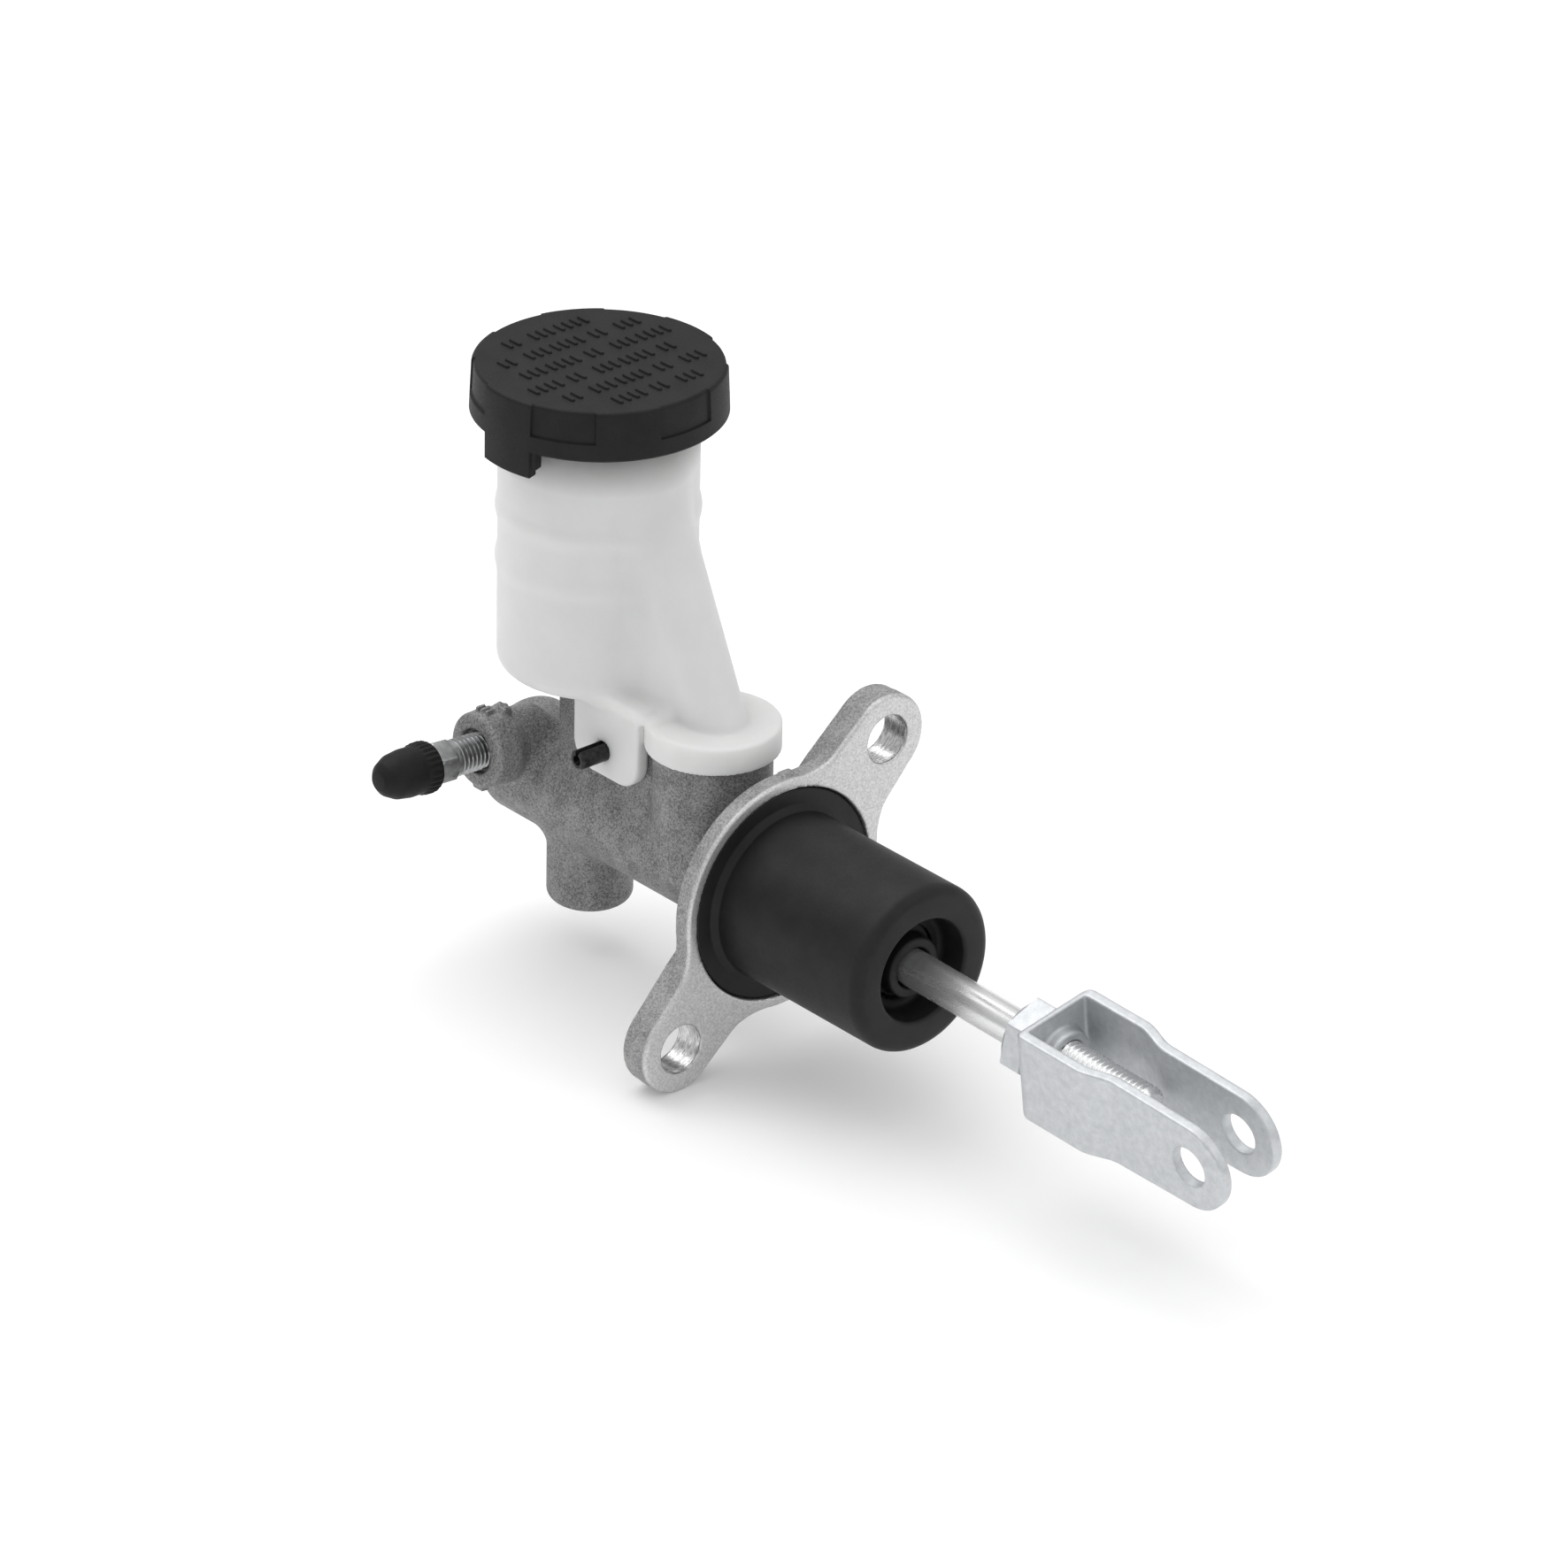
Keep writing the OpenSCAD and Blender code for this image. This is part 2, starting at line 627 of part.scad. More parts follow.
module return_spring() color("#8d9196") {
    len = spring_seat_x - bore_end - 2 * spring_wire_r - 0.3;
    rings = spring_turns * ring_steps;
    points = [for (s = [0 : rings]) each wire_ring(s, len)];
    sides = [for (s = [0 : rings - 1], k = [0 : wire_sides - 1]) let (n = (k + 1) % wire_sides)
        [s * wire_sides + k, s * wire_sides + n, (s + 1) * wire_sides + n, (s + 1) * wire_sides + k]];
    ends = [[for (k = [wire_sides - 1 : -1 : 0]) k], [for (k = [0 : wire_sides - 1]) rings * wire_sides + k]];
    translate([bore_end + spring_wire_r + 0.15, 0, 0]) polyhedron(points, concat(sides, ends), convexity = 8);
}

module stop_washer() color("#9da1a6") difference() {
    rod_along_x(washer_x, washer_x + washer_t, counterbore_r - snug);
    rod_along_x(washer_x - cut, washer_x + washer_t + cut, washer_hole_r);
}

// open ring with two eyes for pliers
module circlip() color("#55585c") slab_x(circlip_x, circlip_t) difference() {
    union() {
        difference() {
            circle(circlip_groove_r - 0.1);
            circle(circlip_groove_r - circlip_w);
            polygon([[0, 0], [circlip_gap, circlip_open_y], [-circlip_gap, circlip_open_y]]);
        }
        for (side = [-1, 1]) translate([side * circlip_eye[0], circlip_eye[1]]) circle(circlip_eye_r);
    }
    for (side = [-1, 1]) translate([side * circlip_eye[0], circlip_eye[1]]) circle(circlip_eye_hole_r);
}

// ---- boot, push rod and clevis ------------------------------------------

module dust_boot() color("#1e1e20") difference() {
    union() {
        about_bore() rounded_profile(boot_r, boot_front, boot_edge_r);
        rod_along_x(boot_rim_x[0], boot_rim_x[1], boot_rim_r);
        rod_along_x(boot_rim_x[0], 1, boot_r);
    }
    rod_along_x(boot_rim_x[0] - cut, boot_web_x[0], boot_inner_r);
    difference() {
        rod_along_x(boot_web_x[1], boot_front + cut, boot_mouth_r);
        translate([0, boot_lip_shift[0], boot_lip_shift[1]])
            rod_along_x(boot_web_x[0], boot_lip_end, boot_lip_r);
    }
    translate([0, boot_lip_shift[0], boot_lip_shift[1]])
        rod_along_x(boot_web_x[0] - cut, boot_front, boot_lip_hole_r);
}

module push_rod() color("#c3c7cb") at_rod() {
    sphere(ball_r);
    rod_along_x(0, thread_start + cut, rod_r);
    rod_along_x(thread_start, rod_end - 1, thread_r);
    translate([rod_end - 1, 0, 0]) rotate([0, 90, 0]) cylinder(h = 1, r1 = thread_r, r2 = thread_r - 1);
}

module lock_nut() color("#c3c7cb") at_rod() rotate([nut_turn, 0, 0]) difference() {
    intersection() {
        translate([nut_x[0], 0, 0]) rotate([0, 90, 0]) hex_prism(nut_af, nut_x[1] - nut_x[0]);
        about_bore(nut_x[0]) polygon([[0, 0], [nut_af / 2, 0], [nut_af / 2 + nut_chamfer[0], nut_chamfer[1]],
            [nut_af / 2 + nut_chamfer[0], nut_x[1] - nut_x[0] - nut_chamfer[1]],
            [nut_af / 2, nut_x[1] - nut_x[0]], [0, nut_x[1] - nut_x[0]]]);
    }
    rod_along_x(nut_x[0] - cut, nut_x[1] + cut, tapped_r);
}

// plan of the folded sheet: the ears step inwards part-way along
module clevis_plan(w, e) polygon([[web_x, -w], [joggle[0], -w], [joggle[1], -e], [eye_reach + eye_r + cut, -e],
    [eye_reach + eye_r + cut, e], [joggle[1], e], [joggle[0], w], [web_x, w]]);

module clevis_side() {
    translate([eye_reach, 0]) circle(eye_r);
    polygon([[web_x, web_chamfer - base_half_h], [web_x + web_chamfer, -base_half_h],
             [joggle[0], -base_half_h], [eye_reach, -eye_r], [eye_reach, eye_r], [joggle[0], base_half_h],
             [web_x + web_chamfer, base_half_h], [web_x, base_half_h - web_chamfer]]);
}

module clevis() color("#c9cdd1") at_rod(clevis_roll) difference() {
    intersection() {
        translate([0, 0, -base_w]) linear_extrude(2 * base_w) difference() {
            clevis_plan(base_w / 2, eye_w / 2);
            difference() {
                clevis_plan(base_w / 2 - clevis_t, eye_w / 2 - clevis_t);
                translate([web_x - cut, -base_w]) square([clevis_t + cut, 2 * base_w]);
                translate([web_x, -collar_r]) square([clevis_t + collar_len, 2 * collar_r]);
            }
        }
        slab_y(-base_w, 2 * base_w) clevis_side();
    }
    difference() {
        translate([web_x + clevis_t, -collar_r - cut, -base_w])
            cube([collar_len + cut, 2 * (collar_r + cut), 2 * base_w]);
        rod_along_x(web_x, web_x + clevis_t + collar_len, collar_r);
    }
    rod_along_x(web_x - cut, web_x + clevis_t + collar_len + cut, tapped_r);
    slab_y(-base_w, 2 * base_w) translate([eye_reach, 0]) circle(d = pin_hole_d);
    for (side = [-1, 1]) bend_trim(side);
}

// rounds the outer fold between the web and an ear
module bend_trim(side) translate([web_x, side * base_w / 2, -base_w]) linear_extrude(2 * base_w) difference() {
    translate([-cut, side > 0 ? -bend_r : -cut]) square([bend_r + cut, bend_r + cut]);
    translate([bend_r, -side * bend_r]) circle(bend_r);
}

cylinder_body();
outlet_seat();
bleed_screw();
bleed_cap();
inlet_grommet();
reservoir();
reservoir_pin();
reservoir_cap();
cap_diaphragm();
piston();
primary_cup();
cup_washer();
secondary_cup();
spring_seat();
return_spring();
stop_washer();
circlip();
dust_boot();
push_rod();
lock_nut();
clevis();
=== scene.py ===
"""Looks of the brake master cylinder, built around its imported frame.

Lengths below are in millimetres and turn into metres when a mesh is made. The frame's X runs along the
bore towards the clevis, Z runs up to the reservoir cap, and the bleed screw points along -Y.
"""
import json
import math

import bmesh
import bpy
import numpy as np
from mathutils import Matrix, Vector


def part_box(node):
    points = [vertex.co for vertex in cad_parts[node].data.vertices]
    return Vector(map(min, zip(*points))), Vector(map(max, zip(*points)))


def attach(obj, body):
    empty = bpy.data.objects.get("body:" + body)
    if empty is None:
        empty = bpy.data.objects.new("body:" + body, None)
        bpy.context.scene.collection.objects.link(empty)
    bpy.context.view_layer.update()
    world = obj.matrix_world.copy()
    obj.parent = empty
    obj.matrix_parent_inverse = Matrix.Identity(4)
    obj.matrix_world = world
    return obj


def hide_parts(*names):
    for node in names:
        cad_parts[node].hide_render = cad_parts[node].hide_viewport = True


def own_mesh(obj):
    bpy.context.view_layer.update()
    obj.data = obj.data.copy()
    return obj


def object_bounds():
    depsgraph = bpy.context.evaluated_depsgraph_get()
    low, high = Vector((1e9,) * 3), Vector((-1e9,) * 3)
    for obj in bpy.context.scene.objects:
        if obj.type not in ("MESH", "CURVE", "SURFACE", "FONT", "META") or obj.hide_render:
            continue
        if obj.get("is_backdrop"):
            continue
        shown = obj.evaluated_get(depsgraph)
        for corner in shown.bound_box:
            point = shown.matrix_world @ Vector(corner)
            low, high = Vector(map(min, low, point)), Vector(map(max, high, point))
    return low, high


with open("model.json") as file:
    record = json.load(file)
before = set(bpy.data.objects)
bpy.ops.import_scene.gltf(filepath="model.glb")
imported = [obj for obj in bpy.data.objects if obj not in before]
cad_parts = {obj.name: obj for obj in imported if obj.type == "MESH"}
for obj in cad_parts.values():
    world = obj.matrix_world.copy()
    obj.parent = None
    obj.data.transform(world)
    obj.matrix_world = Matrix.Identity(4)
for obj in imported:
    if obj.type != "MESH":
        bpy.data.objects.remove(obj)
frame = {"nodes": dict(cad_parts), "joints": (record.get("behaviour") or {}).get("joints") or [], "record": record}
cad_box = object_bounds()
MM = 0.001
SNUG = 0.05                              # clearance of a close fit

# ---- places and sizes taken from the frame ---------------------------------


def box_mm(node):
    low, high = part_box(node)
    return low / MM, high / MM


def joint(name):
    return next(j for j in frame["joints"] if j["name"] == name)


def mount(name):
    return next(m for m in frame["record"]["mounts"] if m["name"] == name)


def axis_frame(origin, along, side):
    """A matrix whose Z runs along `along` and whose X is as near to `side` as it can be."""
    z = Vector(along).normalized()
    x = (Vector(side) - Vector(side).dot(z) * z).normalized()
    rot = Matrix((x, z.cross(x), z)).transposed().to_4x4()
    return Matrix.Translation(Vector(origin)) @ rot


UP = (0, 0, 1)
PIN_AXIS = Vector(mount("clevis_pin")["axis"])
EYE = Vector(mount("clevis_pin")["pos_m"]) / MM
ROD_BALL = Vector(joint("clevis_turn")["pos_m"]) / MM
ROD_AXIS = Vector(joint("clevis_turn")["axis"])
ROD = axis_frame(ROD_BALL, ROD_AXIS, UP)
FORK = axis_frame(ROD_BALL, ROD_AXIS, PIN_AXIS)
BORE = axis_frame((0, 0, 0), (1, 0, 0), UP)
BLEED_FACE = Vector(joint("bleed_screw_turn")["pos_m"]) / MM
BLEED_AXIS = Vector(joint("bleed_screw_turn")["axis"])
BLEED = axis_frame(BLEED_FACE, BLEED_AXIS, UP)
EYE_REACH = (EYE - ROD_BALL).length
TANK_X = joint("cap_turn")["pos_m"][0] / MM
BOLTS = mount("flange_bolts")["dims"]
EAR_TURN = math.radians(44.3)

# ---- mesh helpers ----------------------------------------------------------

ON_THREAD = -1                           # in a profile, stands for the radius along a thread
TOOTH_SLOPE, TOOTH_FLAT = 1.25, 0.12     # steepness of a thread's flanks and width of its flats
WELD, SLIVER = 2e-7, 1e-8                # in metres


def rounded(points, steps=6):
    """An outline whose corners (a, b, radius) are turned into arcs; (a, b) stays sharp."""
    out = []
    for i, point in enumerate(points):
        if len(point) == 2 or i in (0, len(points) - 1):
            out.append(tuple(point[:2]))
            continue
        p, before, after = (Vector(q[:2]) for q in (point, points[i - 1], points[i + 1]))
        u, v = (before - p).normalized(), (after - p).normalized()
        half = u.angle(v) / 2
        centre = p + (u + v).normalized() * (point[2] / math.sin(half))
        start = p + u * (point[2] / math.tan(half)) - centre
        end = p + v * (point[2] / math.tan(half)) - centre
        turn = math.atan2(start.x * end.y - start.y * end.x, start.dot(end))
        for k in range(steps + 1):
            c, s = math.cos(turn * k / steps), math.sin(turn * k / steps)
            out.append((centre.x + start.x * c - start.y * s, centre.y + start.x * s + start.y * c))
    return out


def grid_faces(rows, columns, wrap=True):
    """Quads between neighbouring rows of points."""
    faces = []
    for i in range(rows - 1):
        for j in range(columns if wrap else columns - 1):
            k = (j + 1) % columns
            faces.append((i * columns + j, i * columns + k, (i + 1) * columns + k, (i + 1) * columns + j))
    return faces


def lathe(profile, steps=128, radius=None):
    """A closed turned shape about Z from (radius, height) points; radius(r, h, angles) may vary round it."""
    angles = np.linspace(0, 2 * math.pi, steps, endpoint=False)
    rows = []
    for r, h in profile:
        rr = np.full(steps, float(r)) if radius is None else radius(r, h, angles)
        rows.append(np.stack([rr * np.cos(angles), rr * np.sin(angles), np.full(steps, float(h))], 1))
    return np.concatenate(rows), grid_faces(len(profile), steps)


def thread_profile(start, end, pitch, steps=12):
    """Profile points along a thread, a whole number of them to each turn."""
    return [(ON_THREAD, h) for h in np.arange(start, end + pitch / steps / 2, pitch / steps)]


def thread_radius(major, depth, pitch, start, end):
    """Radius of a V thread with flat crests and roots, fading out over one turn at each end."""
    def radius(r, h, angles):
        phase = (h / pitch - angles / (2 * math.pi)) % 1
        tooth = np.clip(np.abs(2 * phase - 1) * TOOTH_SLOPE - TOOTH_FLAT, 0, 1)
        fade = np.clip(min(h - start, end - h) / pitch, 0, 1)
        return np.where(r < 0, major - depth * tooth * fade, r)
    return radius


def joined(*shapes):
    points, faces, base = [], [], 0
    for p, f in shapes:
        points.append(np.asarray(p, float))
        faces += [tuple(i + base for i in face) for face in f]
        base += len(p)
    return np.concatenate(points), faces


def placed(shape, matrix):
    m = np.array(matrix)
    return np.asarray(shape[0]) @ m[:3, :3].T + m[:3, 3], shape[1]


def new_object(name, shape, materials, sharp=35):
    mesh = bpy.data.meshes.new(name)
    mesh.from_pydata((np.asarray(shape[0]) * MM).tolist(), [], shape[1])
    work = bmesh.new()
    work.from_mesh(mesh)
    bmesh.ops.remove_doubles(work, verts=work.verts, dist=WELD)
    bmesh.ops.dissolve_degenerate(work, edges=work.edges, dist=SLIVER)
    bmesh.ops.recalc_face_normals(work, faces=work.faces)
    work.to_mesh(mesh)
    work.free()
    obj = bpy.data.objects.new(name, mesh)
    bpy.context.scene.collection.objects.link(obj)
    for m in materials:
        mesh.materials.append(m)
    mesh.shade_smooth()
    mesh.set_sharp_from_angle(angle=math.radians(sharp))
    return obj


def piece(obj, body, slot, *nodes):
    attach(obj, body)
    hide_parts(*nodes)


# ---- shapes from distance fields: casting, moulding and folded sheet --------

PULLS, SLOPE_REACH, LEAST_SLOPE = 4, 0.02, 0.3     # how mesh points are pulled onto their surface


def hypot(*parts):
    return np.sqrt(sum(p * p for p in parts))


def rounded_slab(a, b, edge):
    """Distance to where both a and b are below zero, its corner rounded."""
    a, b = a + edge, b + edge
    return np.minimum(np.maximum(a, b), 0) + hypot(np.maximum(a, 0), np.maximum(b, 0)) - edge


def drum(radial, along, radius, low, high, edge):
    """Distance to a cylinder with rounded edges."""
    return rounded_slab(radial - radius, np.abs(along - (low + high) / 2) - (high - low) / 2, edge)


def block(x, y, z, low, high, edge):
    """Distance to a box with rounded edges."""
    q = [np.abs(c - (l + h) / 2) - (h - l) / 2 + edge for c, l, h in zip((x, y, z), low, high)]
    outside = hypot(*(np.maximum(c, 0) for c in q))
    return outside + np.minimum(np.maximum(np.maximum(q[0], q[1]), q[2]), 0) - edge


def fillet(a, b, radius):
    """Both shapes, joined by a fillet of that radius."""
    return np.maximum(radius, np.minimum(a, b)) - hypot(np.maximum(radius - a, 0), np.maximum(radius - b, 0))


def carve(a, b, radius):
    """The first shape without the second, the edge between them rounded."""
    rounding = hypot(np.maximum(radius + a, 0), np.maximum(radius - b, 0))
    return np.minimum(-radius, np.maximum(a, -b)) + rounding


def surface(distance, low, high, step):
    """Mesh of where distance(x, y, z) is zero: surface nets, then every point is pulled onto the surface."""
    axes = [np.arange(a, b + step, step, dtype=np.float32) for a, b in zip(low, high)]
    field = distance(*np.meshgrid(*axes, indexing="ij"))
    inside = field < 0
    corners = [(i, j, k) for i in (0, 1) for j in (0, 1) for k in (0, 1)]
    sizes = [n - 1 for n in field.shape]
    window = lambda c: tuple(slice(o, o + n) for o, n in zip(c, sizes))
    count = sum(inside[window(c)].astype(np.int8) for c in corners)
    cells = np.argwhere((count > 0) & (count < 8))
    ids = np.full(sizes, -1, np.int32)
    ids[tuple(cells.T)] = np.arange(len(cells))
    total, hits = np.zeros((len(cells), 3)), np.zeros(len(cells))
    for a in corners:
        for b in corners:
            if sum(b) - sum(a) != 1 or any(q < p for p, q in zip(a, b)):
                continue
            fa, fb = field[tuple((cells + a).T)], field[tuple((cells + b).T)]
            crossed = (fa < 0) != (fb < 0)
            share = np.where(crossed, fa / np.where(crossed, fa - fb, 1), 0)
            total += crossed[:, None] * (np.array(a) + share[:, None] * (np.array(b) - np.array(a)))
            hits += crossed
    points = np.array(low) + step * (cells + total / hits[:, None])
    quads = []
    for axis in range(3):
        u, v = (axis + 1) % 3, (axis + 2) % 3
        near, far = [slice(None)] * 3, [slice(None)] * 3
        near[axis], far[axis] = slice(0, -1), slice(1, None)
        first, second = inside[tuple(near)], inside[tuple(far)]
        edges = np.argwhere(first != second)
        edges = edges[(edges[:, u] > 0) & (edges[:, v] > 0)]
        around = []
        for du, dv in ((-1, -1), (0, -1), (0, 0), (-1, 0)):
            c = edges.copy()
            c[:, u] += du
            c[:, v] += dv
            around.append(ids[tuple(np.minimum(c, np.array(sizes) - 1).T)])
        quad = np.stack(around, 1)
        flip = ~first[tuple(edges.T)]
        quad[flip] = quad[flip][:, ::-1]
        quads.append(quad)
    quads = np.concatenate(quads)
    quads = quads[(quads >= 0).all(1)]
    reach = SLOPE_REACH
    for _ in range(PULLS):
        x, y, z = points.T
        here = distance(x, y, z)
        slope = np.stack([distance(x + reach, y, z) - distance(x - reach, y, z),
                          distance(x, y + reach, z) - distance(x, y - reach, z),
                          distance(x, y, z + reach) - distance(x, y, z - reach)], 1) / (2 * reach)
        move = here[:, None] * slope / np.maximum((slope ** 2).sum(1), LEAST_SLOPE)[:, None]
        points = points - np.clip(move, -step / 2, step / 2)
    return points, [tuple(q) for q in quads.tolist()]


# ---- materials -------------------------------------------------------------


class Finish:
    """A principled material put together node by node, on the object's own coordinates."""

    def __init__(self, name, **sockets):
        self.material = bpy.data.materials.new(name)
        self.material.use_nodes = True
        self.tree = self.material.node_tree
        self.shader = self.tree.nodes["Principled BSDF"]
        for socket, value in sockets.items():
            self.shader.inputs[socket.replace("_", " ")].default_value = value
        self.place = self.new("ShaderNodeTexCoord").outputs["Object"]

    def new(self, kind, **settings):
        node = self.tree.nodes.new(kind)
        for key, value in settings.items():
            setattr(node, key, value)
        return node

    def link(self, a, b):
        self.tree.links.new(a, b)

    def noise(self, size, detail=3, roughness=0.55, stretch=(1, 1, 1)):
        """Noise whose features are about `size` mm across."""
        scaled = self.new("ShaderNodeVectorMath", operation="MULTIPLY")
        scaled.inputs[1].default_value = [s / (size * MM) for s in stretch]
        self.link(self.place, scaled.inputs[0])
        node = self.new("ShaderNodeTexNoise")
        node.inputs["Scale"].default_value = 1
        node.inputs["Detail"].default_value = detail
        node.inputs["Roughness"].default_value = roughness
        self.link(scaled.outputs[0], node.inputs["Vector"])
        return node.outputs["Fac"]

    def spread(self, value, low, high, to_low, to_high):
        node = self.new("ShaderNodeMapRange")
        for i, v in enumerate((low, high, to_low, to_high), 1):
            node.inputs[i].default_value = v
        self.link(value, node.inputs[0])
        return node.outputs[0]

    def maths(self, operation, a, b):
        node = self.new("ShaderNodeMath", operation=operation)
        for i, v in enumerate((a, b)):
            if isinstance(v, (int, float)):
                node.inputs[i].default_value = v
            else:
                self.link(v, node.inputs[i])
        return node.outputs[0]

    def ramp(self, value, dark, light, low=0.3, high=0.7):
        node = self.new("ShaderNodeValToRGB")
        for end, place, tone in zip(node.color_ramp.elements, (low, high), (dark, light)):
            end.position = place
            end.color = (*tone, 1)
        self.link(value, node.inputs[0])
        return node.outputs[0]

    def mix(self, share, a, b):
        node = self.new("ShaderNodeMix", data_type="RGBA")
        for socket, value in (("Factor_Float", share), ("A_Color", a), ("B_Color", b)):
            self.link(value, next(i for i in node.inputs if i.identifier == socket))
        return next(o for o in node.outputs if o.identifier == "Result_Color")

    def colour(self, value, dark, light, low=0.3, high=0.7):
        self.tint(self.ramp(value, dark, light, low, high))

    def rough(self, value, low, high):
        self.link(self.spread(value, 0.25, 0.75, low, high), self.shader.inputs["Roughness"])

    def bump(self, height, depth, before=None):
        """Raises the surface by up to `depth` mm."""
        node = self.new("ShaderNodeBump")
        node.inputs["Strength"].default_value = 1
        node.inputs["Distance"].default_value = depth * MM
        self.link(height, node.inputs["Height"])
        if before is not None:
            self.link(before, node.inputs["Normal"])
        self.link(node.outputs[0], self.shader.inputs["Normal"])
        return node.outputs[0]

    def band(self, axis, low, high):
        """0 below `low` mm along one of the object's axes, 1 above `high`, and a ramp between them."""
        node = self.new("ShaderNodeSeparateXYZ")
        self.link(self.place, node.inputs[0])
        return self.spread(node.outputs[axis], low * MM, high * MM, 0, 1)

    def tint(self, colour):
        self.link(colour, self.shader.inputs["Base Color"])


def grey(value, blue=0.0):
    return (value - blue, value, value + blue)


# the last pair spans the painted shade under the reservoir cap, in mm up the tank
FRONT_SKIN, FLANGE_BACK, CAP_SHADE_BAND = (-0.9, -0.2), (-7.2, -6.6), (71.5, 81)
X_AXIS, Z_AXIS = 0, 2


def cast_aluminium():
    """Grainy die casting: the flange is lighter, its front lighter still, and drilled holes are bright, except in
    and round the bleed hole, which keeps the darker cast colour as painted shade.
    """
    f = Finish("cast_aluminium", Specular_IOR_Level=0.35)
    blotch, grain, chatter = f.noise(5, 4, 0.6), f.noise(0.42, 3, 0.75), f.noise(1.1, 2, 0.5, (3, 1, 1))
    both = f.maths("ADD", f.maths("MULTIPLY", blotch, 0.25), f.maths("MULTIPLY", grain, 0.75))
    front, flange = f.band(X_AXIS, *FRONT_SKIN), f.band(X_AXIS, *FLANGE_BACK)
    machined_with_bleed_shade = f.new("ShaderNodeAttribute", attribute_name="machined_with_bleed_shade").outputs["Fac"]
    body = f.ramp(both, grey(0.11), grey(0.34), 0.4, 0.6)
    body = f.mix(flange, body, f.ramp(both, grey(0.2), grey(0.44), 0.4, 0.6))
    body = f.mix(front, body, f.ramp(grain, grey(0.48), grey(0.76), 0.34, 0.66))
    f.tint(f.mix(machined_with_bleed_shade, body, f.ramp(chatter, grey(0.42), grey(0.8), 0.35, 0.65)))
    shine = f.maths("MAXIMUM", machined_with_bleed_shade, f.maths("MULTIPLY", front, 0.6))
    f.link(f.spread(shine, 0, 1, 0.35, 1), f.shader.inputs["Metallic"])
    f.link(f.spread(shine, 0, 1, 0.6, 0.26), f.shader.inputs["Roughness"])
    f.bump(grain, 0.045, f.bump(f.noise(2.6, 2), 0.06))
    return f.material


def machined_aluminium():
    f = Finish("machined_aluminium", Metallic=1.0)
    rings = f.noise(0.8, 3, 0.6, (6, 1, 1))
    f.colour(rings, grey(0.5), grey(0.8))
    f.rough(f.noise(1.5, 2), 0.16, 0.34)
    f.bump(rings, 0.02)
    return f.material


def zinc_plate():
    f = Finish("zinc_plate", Metallic=0.75)
    mottle, speck = f.noise(1.6, 5, 0.7), f.noise(0.35, 2, 0.6)
    f.colour(mottle, grey(0.55, 0.018), grey(0.68, 0.014))
    f.rough(speck, 0.44, 0.58)
    f.bump(speck, 0.01, f.bump(mottle, 0.01))
    return f.material


def bright_zinc():
    f = Finish("bright_zinc", Metallic=1.0)
    streak = f.noise(0.9, 4, 0.6, (0.15, 1, 1))
    f.colour(streak, grey(0.3, 0.004), grey(0.44, 0.004))
    f.rough(streak, 0.26, 0.38)
    f.bump(f.noise(0.4, 2), 0.003)
    return f.material


def rod_zinc():
    """Smooth rolled rod."""
    f = Finish("rod_zinc", Metallic=0.85)
    streak = f.noise(1.5, 2, 0.5, (0.1, 1, 1))
    f.colour(streak, grey(0.84, 0.004), grey(0.94, 0.004))
    f.rough(streak, 0.22, 0.3)
    f.bump(f.noise(0.3, 2), 0.003)
    return f.material


def matt_plastic(name, dark, light, low, high):
    f = Finish(name, Specular_IOR_Level=0.22)
    fine = f.noise(0.35, 3, 0.6)
    f.colour(f.noise(6, 3), dark, light)
    f.rough(fine, low, high)
    f.bump(fine, 0.02)
    return f.material


def milky_plastic():
    """Translucent tank wall, darker near the rim: painted shade under the cap, standing in for the cap's shade and
    for the dark diaphragm inside showing through the wall.
    """
    f = Finish("milky_plastic", Subsurface_Weight=0.6, Subsurface_Scale=0.006, IOR=1.5,
               Specular_IOR_Level=0.35)
    f.shader.inputs["Subsurface Radius"].default_value = (1, 0.97, 0.92)
    cloud, fine = f.noise(9, 4, 0.6), f.noise(0.6, 3, 0.6)
    wall = f.ramp(cloud, (0.725, 0.725, 0.72), (0.76, 0.76, 0.755))
    # painted shade: a dark band up the tank wall, darkest at the cap
    cap_shade = f.band(Z_AXIS, *CAP_SHADE_BAND)
    f.tint(f.mix(cap_shade, wall, f.ramp(cloud, grey(0.14), grey(0.18))))
    f.rough(fine, 0.42, 0.56)
    f.bump(fine, 0.012, f.bump(f.noise(7, 2), 0.03))
    return f.material


def plain_metal(name, dark, light, low, high, metallic=1.0):
    f = Finish(name, Metallic=metallic)
    streak = f.noise(0.8, 3, 0.6)
    f.colour(streak, dark, light)
    f.rough(streak, low, high)
    f.bump(f.noise(0.3, 2), 0.006)
    return f.material


CAST, MACHINED = cast_aluminium(), machined_aluminium()
ZINC, BRIGHT, ROD_ZINC = zinc_plate(), bright_zinc(), rod_zinc()
MILKY = milky_plastic()
CAP_PLASTIC = matt_plastic("cap_plastic", grey(0.008), grey(0.013), 0.5, 0.66)
BOOT_RUBBER = matt_plastic("boot_rubber", grey(0.01), grey(0.016), 0.42, 0.56)
RUBBER = matt_plastic("seal_rubber", grey(0.006), grey(0.011), 0.5, 0.68)
WHITE_PLASTIC = matt_plastic("white_plastic", grey(0.68), grey(0.78), 0.4, 0.55)
BLACK_STEEL = plain_metal("black_steel", grey(0.02), grey(0.05), 0.3, 0.45, 0.8)
SPRING_STEEL = plain_metal("spring_steel", grey(0.28), grey(0.42), 0.25, 0.4)
BRASS = plain_metal("brass", (0.5, 0.36, 0.15), (0.68, 0.52, 0.25), 0.22, 0.36)

# ---- cast body -------------------------------------------------------------

